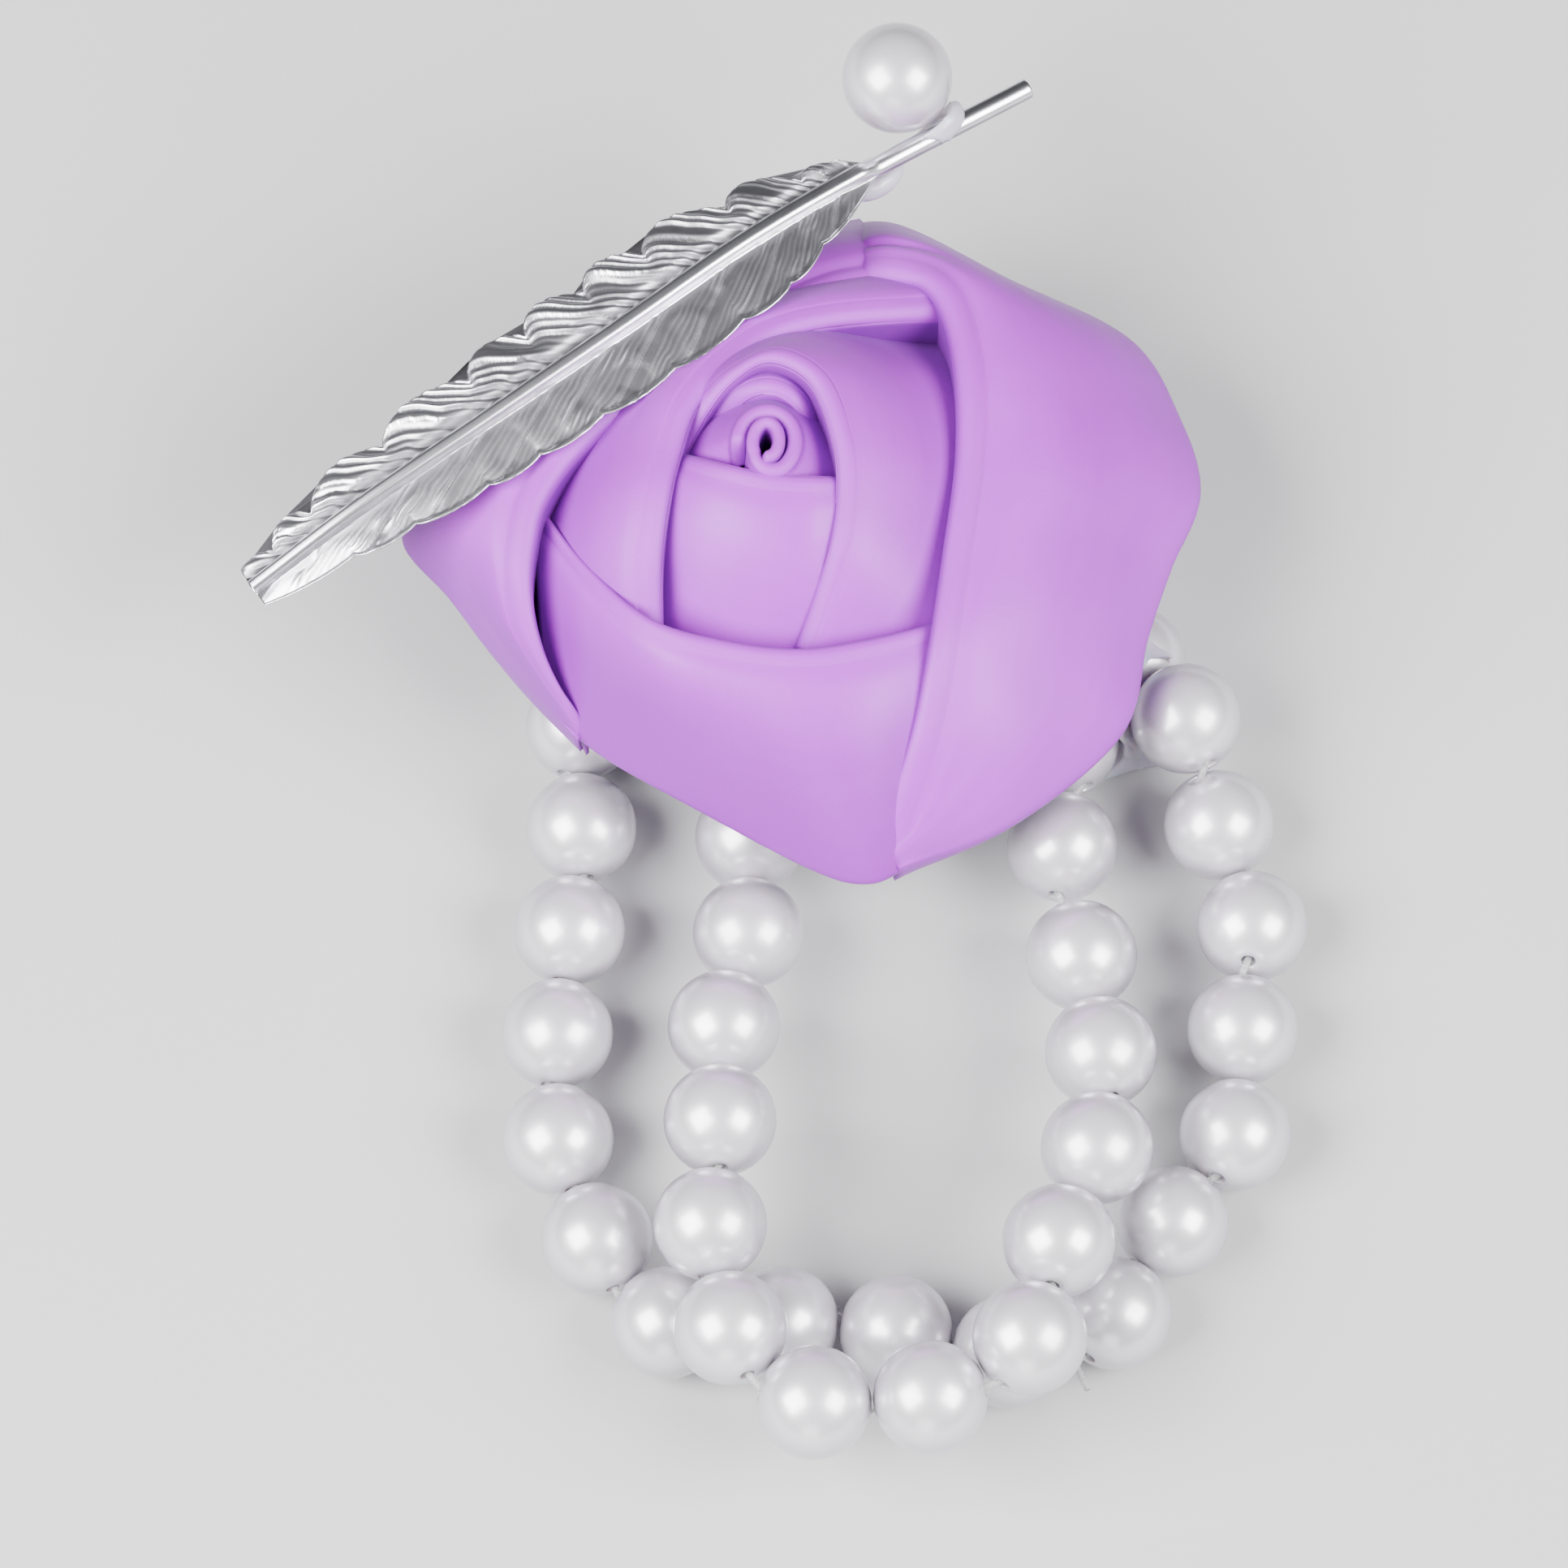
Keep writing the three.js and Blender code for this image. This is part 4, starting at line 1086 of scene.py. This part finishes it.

# Rose

# Each fold of the ribbon is drawn by two lines: the rolled lip, and the rim that its skirt
# falls to, in shares of the rose's radius and height, from the innermost fold outwards. The bead
# is the channel beside the lip, in rolls, the bulge is how full the skirt hangs, and the skirt's painted
# shade says how much darker its colour is painted towards the rim. The ends are how far the lip's cut ends
# bend down.
# A crease is (middle and spread along the lip from 0 to 1, distance out from it, width, depth)
roseFolds = [
    {
        "flat": (20, 24), "roll": 0.5 * mm, "bead": 0.15, "bulge": 1,
        "lip": [(-0.24, 0.15, 0.64), (-0.2, 0.19, 0.75), (-0.14, 0.22, 0.84), (-0.065, 0.22, 0.88),
                (0, 0.18, 0.84), (0.045, 0.12, 0.7), (0.06, 0.03, 0.55)],
        "rim": [(-0.44, 0.14, 0.5), (-0.4, 0.36, 0.55), (-0.08, 0.5, 0.55), (0.19, 0.4, 0.55),
                (0.24, 0.1, 0.5)],
    },
    {
        "flat": (20, 24), "roll": 0.55 * mm, "bead": 0.05, "bulge": 1.7,
        "lip": [(-0.33, 0.09, 0.7), (-0.26, 0.03, 0.81), (-0.18, -0.015, 0.87),
                (-0.08, -0.045, 0.89), (0.03, -0.05, 0.885), (0.12, -0.03, 0.82)],
        "rim": [(-0.5, 0.06, 0.45), (-0.41, -0.27, 0.42), (-0.22, -0.44, 0.4), (0, -0.46, 0.4),
                (0.2, -0.28, 0.45)],
    },
    {
        "flat": (26, 34), "roll": 0.6 * mm, "bead": 0.25, "skirtShade": 0.3, "bulge": 1.1,
        "lip": [(-0.31, 0.11, 0.7), (-0.245, 0.2, 0.8), (-0.17, 0.26, 0.88), (-0.07, 0.29, 0.93),
                (0.04, 0.22, 0.94), (0.1, 0.06, 0.92), (0.11, -0.07, 0.88), (0.09, -0.2, 0.82),
                (0.05, -0.3, 0.71), (0, -0.41, 0.57)],
        "rim": [(-0.48, 0.34, 0.45), (-0.36, 0.5, 0.4), (-0.1, 0.62, 0.35), (0.21, 0.6, 0.35),
                (0.5, 0.42, 0.38), (0.6, 0.15, 0.42), (0.58, -0.1, 0.42), (0.5, -0.34, 0.38),
                (0.3, -0.5, 0.33), (0.16, -0.56, 0.3)],
    },
    {
        "flat": (28, 46), "roll": 0.75 * mm, "bead": 0, "skirtShade": 0.4, "bulge": 1.35,
        "lip": [(0.4, 0.55, 0.58), (0.25, 0.51, 0.68), (0.06, 0.47, 0.74), (-0.09, 0.41, 0.78),
                (-0.21, 0.31, 0.8), (-0.29, 0.2, 0.82), (-0.33, 0.08, 0.82), (-0.36, -0.06, 0.82),
                (-0.38, -0.21, 0.74), (-0.38, -0.36, 0.6)],
        "rim": [(0.4, 0.7, 0.3), (0.21, 0.76, 0.33), (-0.08, 0.7, 0.35), (-0.38, 0.55, 0.33),
                (-0.6, 0.35, 0.3), (-0.72, 0.1, 0.26), (-0.74, -0.14, 0.24), (-0.6, -0.4, 0.22)],
    },
    {
        "flat": (30, 42), "roll": 0.6 * mm, "bead": 0.1, "skirtShade": 0.45,
        "bulge": 1.7, "underturn": True,
        "lip": [(0.44, -0.3, 0.53), (0.31, -0.38, 0.64), (0.16, -0.44, 0.7), (0, -0.47, 0.72),
                (-0.18, -0.45, 0.72), (-0.38, -0.38, 0.7), (-0.545, -0.2, 0.61),
                (-0.68, 0.02, 0.5)],
        "rim": [(0.5, -0.72, 0.17), (0.27, -0.86, 0.19), (0.16, -0.91, 0.2), (0.02, -0.87, 0.2),
                (-0.28, -0.7, 0.2), (-0.5, -0.56, 0.18), (-0.65, -0.42, 0.16)],
    },
    {
        "flat": (30, 46), "roll": 0.85 * mm, "bead": 0.22, "skirtShade": 0.2, "ends": (1.2 * mm, 0),
        "bulge": 1.7, "underturn": True,
        "lip": [(-0.55, -0.505, 0.22), (-0.63, -0.42, 0.34), (-0.69, -0.32, 0.475),
                (-0.711, -0.21, 0.58), (-0.7, -0.1, 0.64), (-0.67, 0, 0.67),
                (-0.59, 0.12, 0.68), (-0.46, 0.25, 0.68), (-0.29, 0.38, 0.67),
                (-0.12, 0.49, 0.66), (0.07, 0.6, 0.61), (0.21, 0.65, 0.55)],
        "rim": [(-0.565, -0.52, 0.17), (-0.69, -0.385, 0.19), (-0.8, -0.26, 0.2), (-0.9, -0.12, 0.2),
                (-1.01, 0.02, 0.2), (-0.97, 0.15, 0.2), (-0.84, 0.29, 0.2), (-0.62, 0.49, 0.2),
                (-0.42, 0.64, 0.2), (-0.2, 0.79, 0.2), (0, 0.9, 0.2), (0.15, 0.94, 0.2)],
    },
    {
        "flat": (34, 62), "roll": 0.9 * mm, "bead": 0.08, "ends": (1.5 * mm, 0.5 * mm),
        "bulge": 1.7, "underturn": True,
        "lip": [(0.13, 0.66, 0.54), (0.22, 0.65, 0.61), (0.33, 0.6, 0.67), (0.39, 0.49, 0.7),
                (0.42, 0.3, 0.74), (0.42, 0.08, 0.74), (0.39, -0.15, 0.73), (0.35, -0.41, 0.7),
                (0.31, -0.6, 0.58), (0.26, -0.74, 0.43), (0.21, -0.845, 0.27)],
        "rim": [(0.11, 0.92, 0.2), (0.27, 0.91, 0.2), (0.57, 0.74, 0.2), (0.84, 0.58, 0.2),
                (0.96, 0.38, 0.2), (1.01, 0.16, 0.2), (0.93, -0.05, 0.2), (0.865, -0.25, 0.2),
                (0.795, -0.515, 0.2), (0.52, -0.76, 0.2), (0.24, -0.885, 0.2)],
        "creases": [(0.06, 0.12, 2.4 * mm, 0.4 * mm, 0.5 * mm)],
    },
]


# The section of a fold, in rolls of the lip: where the inner wall ends, how far the outer satin
# falls beside the lip, the points over the lip, and the shares of the skirt below it
lipShape = {
    "foot": 0.12,
    "fall": 0.36,
    "over": [(-1, 1.6), (-0.95, 0.8), (-0.6, 0.2), (0, 0), (0.62, 0.12)],
    "beside": (1.1, 0.1),
    "valleyOut": 1.5,
    "skirt": (0.12, 0.28, 0.42, 0.55, 0.68, 0.8, 0.9, 1),
    "underturn": ((-0.04, 0.2), (0.3, 0.5), (1, 0.84)),
    "underturnGap": 0.4 * mm,
}


def foldSection(lip, rim, fold):
    # One cut through a fold, as distance out from the lip and height
    shape, base = lipShape, roseShape["base"]
    width = (rim - lip).xy.length
    roll = min(fold["roll"], width / 4)
    foot = base + (lip.z - base) * shape["foot"]
    valley = lip.z - roll * (shape["fall"] + fold["bead"])
    shoulder = lip.z - roll * (shape["fall"] + fold["bead"] / 2)
    line = [(-roll, foot), (-roll, foot + (lip.z - foot) * 0.5)]
    line += [(roll * out, lip.z - roll * down) for out, down in shape["over"]]
    out, down = shape["beside"]
    start = roll * shape["valleyOut"]
    line += [(roll * out, (lip.z + valley) / 2 - roll * down), (start, valley)]
    for share in shape["skirt"]:
        fall = (shoulder - rim.z) * share ** fold["bulge"]
        line.append((start + (width - start) * share, shoulder - fall))
    if "underturn" in fold:
        reach = min(roseShape["underturn"], width / 3)
        drop = rim.z - base - shape["underturnGap"]
        for inShare, downShare in shape["underturn"]:
            line.append((width - reach * inShare, rim.z - drop * downShare))
    return [Vector((s, z, 0)) for s, z in line]


def pressUnder(place):
    # The satin gives way under the feather
    hit = featherTree.ray_cast(Vector((place.x, place.y, 0)), up)[0]
    if hit is None:
        return place
    return Vector((place.x, place.y, min(place.z, hit.z - roseShape["underFeather"])))


lipSteps = 80


def lipTree(folds):
    # The lips of the outer folds as points on a plan, with their heights
    places = [
        curvePoint([rosePlace(p) for p in fold["lip"]], step / lipSteps)
        for fold in folds for step in range(lipSteps + 1)
    ]
    tree = KDTree(max(len(places), 1))
    for i, place in enumerate(places):
        tree.insert((place.x, place.y, 0), i)
    tree.balance()
    return tree, places


# Painted shade in the satin's colour: near and below the lips of outer folds, on a fold's inner wall, and
# where it starts towards the rim
tuckShadeShape = {
    "start": 0.35 * mm,
    "reach": 1.3 * mm,
    "spread": 0.35,
    "depth": (0.1 * mm, 1.8 * mm),
    "wall": (-0.9 * mm, 0.2 * mm),
    "wallDepth": 1.1 * mm,
    "skirtShadeFrom": 0.1,
}


def shadeUnder(lips, place):
    # How much painted shade a spot gets from being tucked in below the lip of a fold further out
    tree, places = lips
    if not places:
        return 0
    _, i, distance = tree.find((place.x, place.y, 0))
    below = places[i].z - place.z
    reach = tuckShadeShape["reach"] + max(below, 0) * tuckShadeShape["spread"]
    return (1 - smooth(tuckShadeShape["start"], reach, distance)) * smooth(*tuckShadeShape["depth"], below)


# The soft waves of the satin, and how its ends bend down
waveShape = {
    "size": 9 * mm,
    "rise": 0.55 * mm,
    "outward": 0.4,
    "upward": 0.9,
    "comesIn": (2 * mm, 8 * mm),  # distances from the lip
    "endReach": 0.05,
    "endFade": (0.65, 0.9),
}


def creaseDepth(fold, t, out):
    depth = 0
    for middle, spread, away, width, deep in fold.get("creases", []):
        depth += deep * math.exp(-(((t - middle) / spread) ** 4) - ((out - away) / width) ** 2)
    return depth


def endDepth(fold, t):
    # The cut ends of a lip bend down out of sight
    first, last = fold.get("ends", (0, 0))
    reach = waveShape["endReach"]
    return first * max(1 - t / reach, 0) ** 2 + last * max(1 - (1 - t) / reach, 0) ** 2


def ribbonGrid(along, across, size):
    # A flat grid with the ribbon's own sizes as its UV map, from 0 to 1 both ways
    bm = bmesh.new()
    ribbon = bm.loops.layers.uv.new("ribbon")
    tuckShade = bm.verts.layers.float.new("tuckShade")
    bmesh.ops.create_grid(bm, x_segments=along, y_segments=across, size=0.5)
    for vert in bm.verts:
        vert.co += Vector((0.5, 0.5, 0))
        for loop in vert.link_loops:
            loop[ribbon].uv = (vert.co.y * size[0], vert.co.x * size[1])
    return bm, tuckShade


def settleSatin(bm, name, node):
    bmesh.ops.recalc_face_normals(bm, faces=bm.faces)
    piece = finishMesh(bm, name, satinMaterial)
    thick = piece.modifiers.new("thickness", "SOLIDIFY")
    thick.thickness = roseShape["satin"]
    thick.offset = 0
    settle(piece, "root", "satin", node)


def makeFold(fold, number):
    lip = [rosePlace(p) for p in fold["lip"]]
    rim = [rosePlace(p) for p in fold["rim"]]
    along, across = roseShape["along"], roseShape["across"]
    sections = []
    for station in range(along + 1):
        t = station / along
        lipPoint, rimPoint = curvePoint(lip, t), curvePoint(rim, t)
        out = ((rimPoint - lipPoint) * Vector((1, 1, 0))).normalized()
        sections.append((lipPoint, out, foldSection(lipPoint, rimPoint, fold)))
    size = (fold["flat"][0] * mm, fold["flat"][1] * mm)
    lips = lipTree(roseFolds[number:])
    bm, tuckShade = ribbonGrid(along, across, size)
    wave, shade = waveShape, tuckShadeShape
    for vert in bm.verts:
        x, y = vert.co.xy
        lipPoint, out, line = sections[round(x * along)]
        flat = curvePoint(line, y)
        place = Vector((lipPoint.x, lipPoint.y, flat.y)) + out * flat.x
        sway = noise.noise(place / wave["size"] + Vector((number, 0, 0))) * wave["rise"]
        way = Vector((out.x * wave["outward"], out.y * wave["outward"], wave["upward"]))
        place += way * (sway * smooth(*wave["comesIn"], flat.x))
        place.z -= creaseDepth(fold, x, flat.x) + endDepth(fold, x) * (1 - smooth(*wave["endFade"], y))
        vert.co = pressUnder(place)
        # Painted shade: on the inner wall below the lip, towards the rim, and under the lips of outer folds
        inner = smooth(0, shade["wallDepth"], lipPoint.z - flat.y) * (1 - smooth(*shade["wall"], flat.x))
        skirtShade = fold.get("skirtShade", 0) * smooth(shade["skirtShadeFrom"], 1, flat.x / line[-1].x)
        vert[tuckShade] = max(inner, skirtShade, shadeUnder(lips, vert.co))
    settleSatin(bm, f"satin_fold_{number}", f"rose_fold_{number}")


coreShape = {
    "middle": (-0.089, 0.06),
    "turns": 1.94,
    "start": 205,
    # Half the width of the turns from the outer end to the eye; they are longer by the stretch
    "radii": [2.05 * mm, 2.0 * mm, 2.0 * mm, 1.9 * mm, 1.05 * mm, 0.92 * mm, 0.86 * mm, 0.83 * mm, 0.8 * mm],
    "stretch": 0.52 * mm,
    "halfFold": (0.44 * mm, 0.3 * mm),  # of the wide turn and of the tight ones
    "tightFrom": (0.4, 0.55),
    "innerEnd": 0.3,  # share of the ribbon's width that makes the inner wall
    "outerStart": 0.6,
    "flare": 0.8,
    "skirt": 7 * mm,
    "foot": 0.5 * mm,
    "slope": 0.8 * mm,
    "ends": (0.05, 0.93),
    "endDrop": 1.6 * mm,
    "shadeDepth": (0.3 * mm, 3 * mm),
    "shadeEnd": (0.55, 0.62),
    "along": 160,
    "across": 50,
    "height": 18.6 * mm,
    "flat": (36, 22),
}


def makeCore():
    # The ribbon's doubled end, rolled up on itself; the wide turn's outer satin falls away
    shape = coreShape
    x0, y0 = (share * roseShape["radius"] for share in shape["middle"])
    top = roseShape["base"] + shape["height"]
    low = roseShape["base"] + shape["foot"]
    wide, narrow = shape["halfFold"]
    innerEnd, outerStart = shape["innerEnd"], shape["outerStart"]

    def placeAt(x, y):
        angle = math.radians(shape["start"]) - x * shape["turns"] * math.tau
        radius = shareAt(shape["radii"], x)
        ray = Vector((math.cos(angle) * radius, math.sin(angle) * (radius + shape["stretch"]), 0))
        outward = Vector((math.cos(angle), math.sin(angle), 0))
        tight = smooth(*shape["tightFrom"], x)
        half = wide + (narrow - wide) * tight
        if y < innerEnd:
            side, height = -half, low + (top - half - low) * y / innerEnd
        elif y > outerStart:
            fall = shape["skirt"] * (y - outerStart) / (1 - outerStart)
            height = top - half - fall
            side = half + shape["flare"] * fall * (1 - tight)
        else:
            bow = math.pi * (y - innerEnd) / (outerStart - innerEnd)
            side, height = -half * math.cos(bow), top - half + half * math.sin(bow)
        ends = 1 - smooth(0, shape["ends"][0], x) + smooth(shape["ends"][1], 1, x)
        drop = (1 - x) * shape["slope"] + ends * shape["endDrop"]
        return Vector((x0, y0, height - drop)) + ray + outward * side

    lips = lipTree(roseFolds[:3])
    size = (shape["flat"][0] * mm, shape["flat"][1] * mm)
    bm, tuckShade = ribbonGrid(shape["along"], shape["across"], size)
    for vert in bm.verts:
        x, y = vert.co.xy
        vert.co = placeAt(x, y)
        # Painted shade: deep inside the roll, and under the lips of the first folds
        inner = smooth(*shape["shadeDepth"], top - vert.co.z) * (1 - smooth(*shape["shadeEnd"], y))
        vert[tuckShade] = max(inner, shadeUnder(lips, vert.co))
    settleSatin(bm, "satin_core", "rose_core")


makeCore()
for number, fold in enumerate(roseFolds, 1):
    makeFold(fold, number)
print("stage: rose")
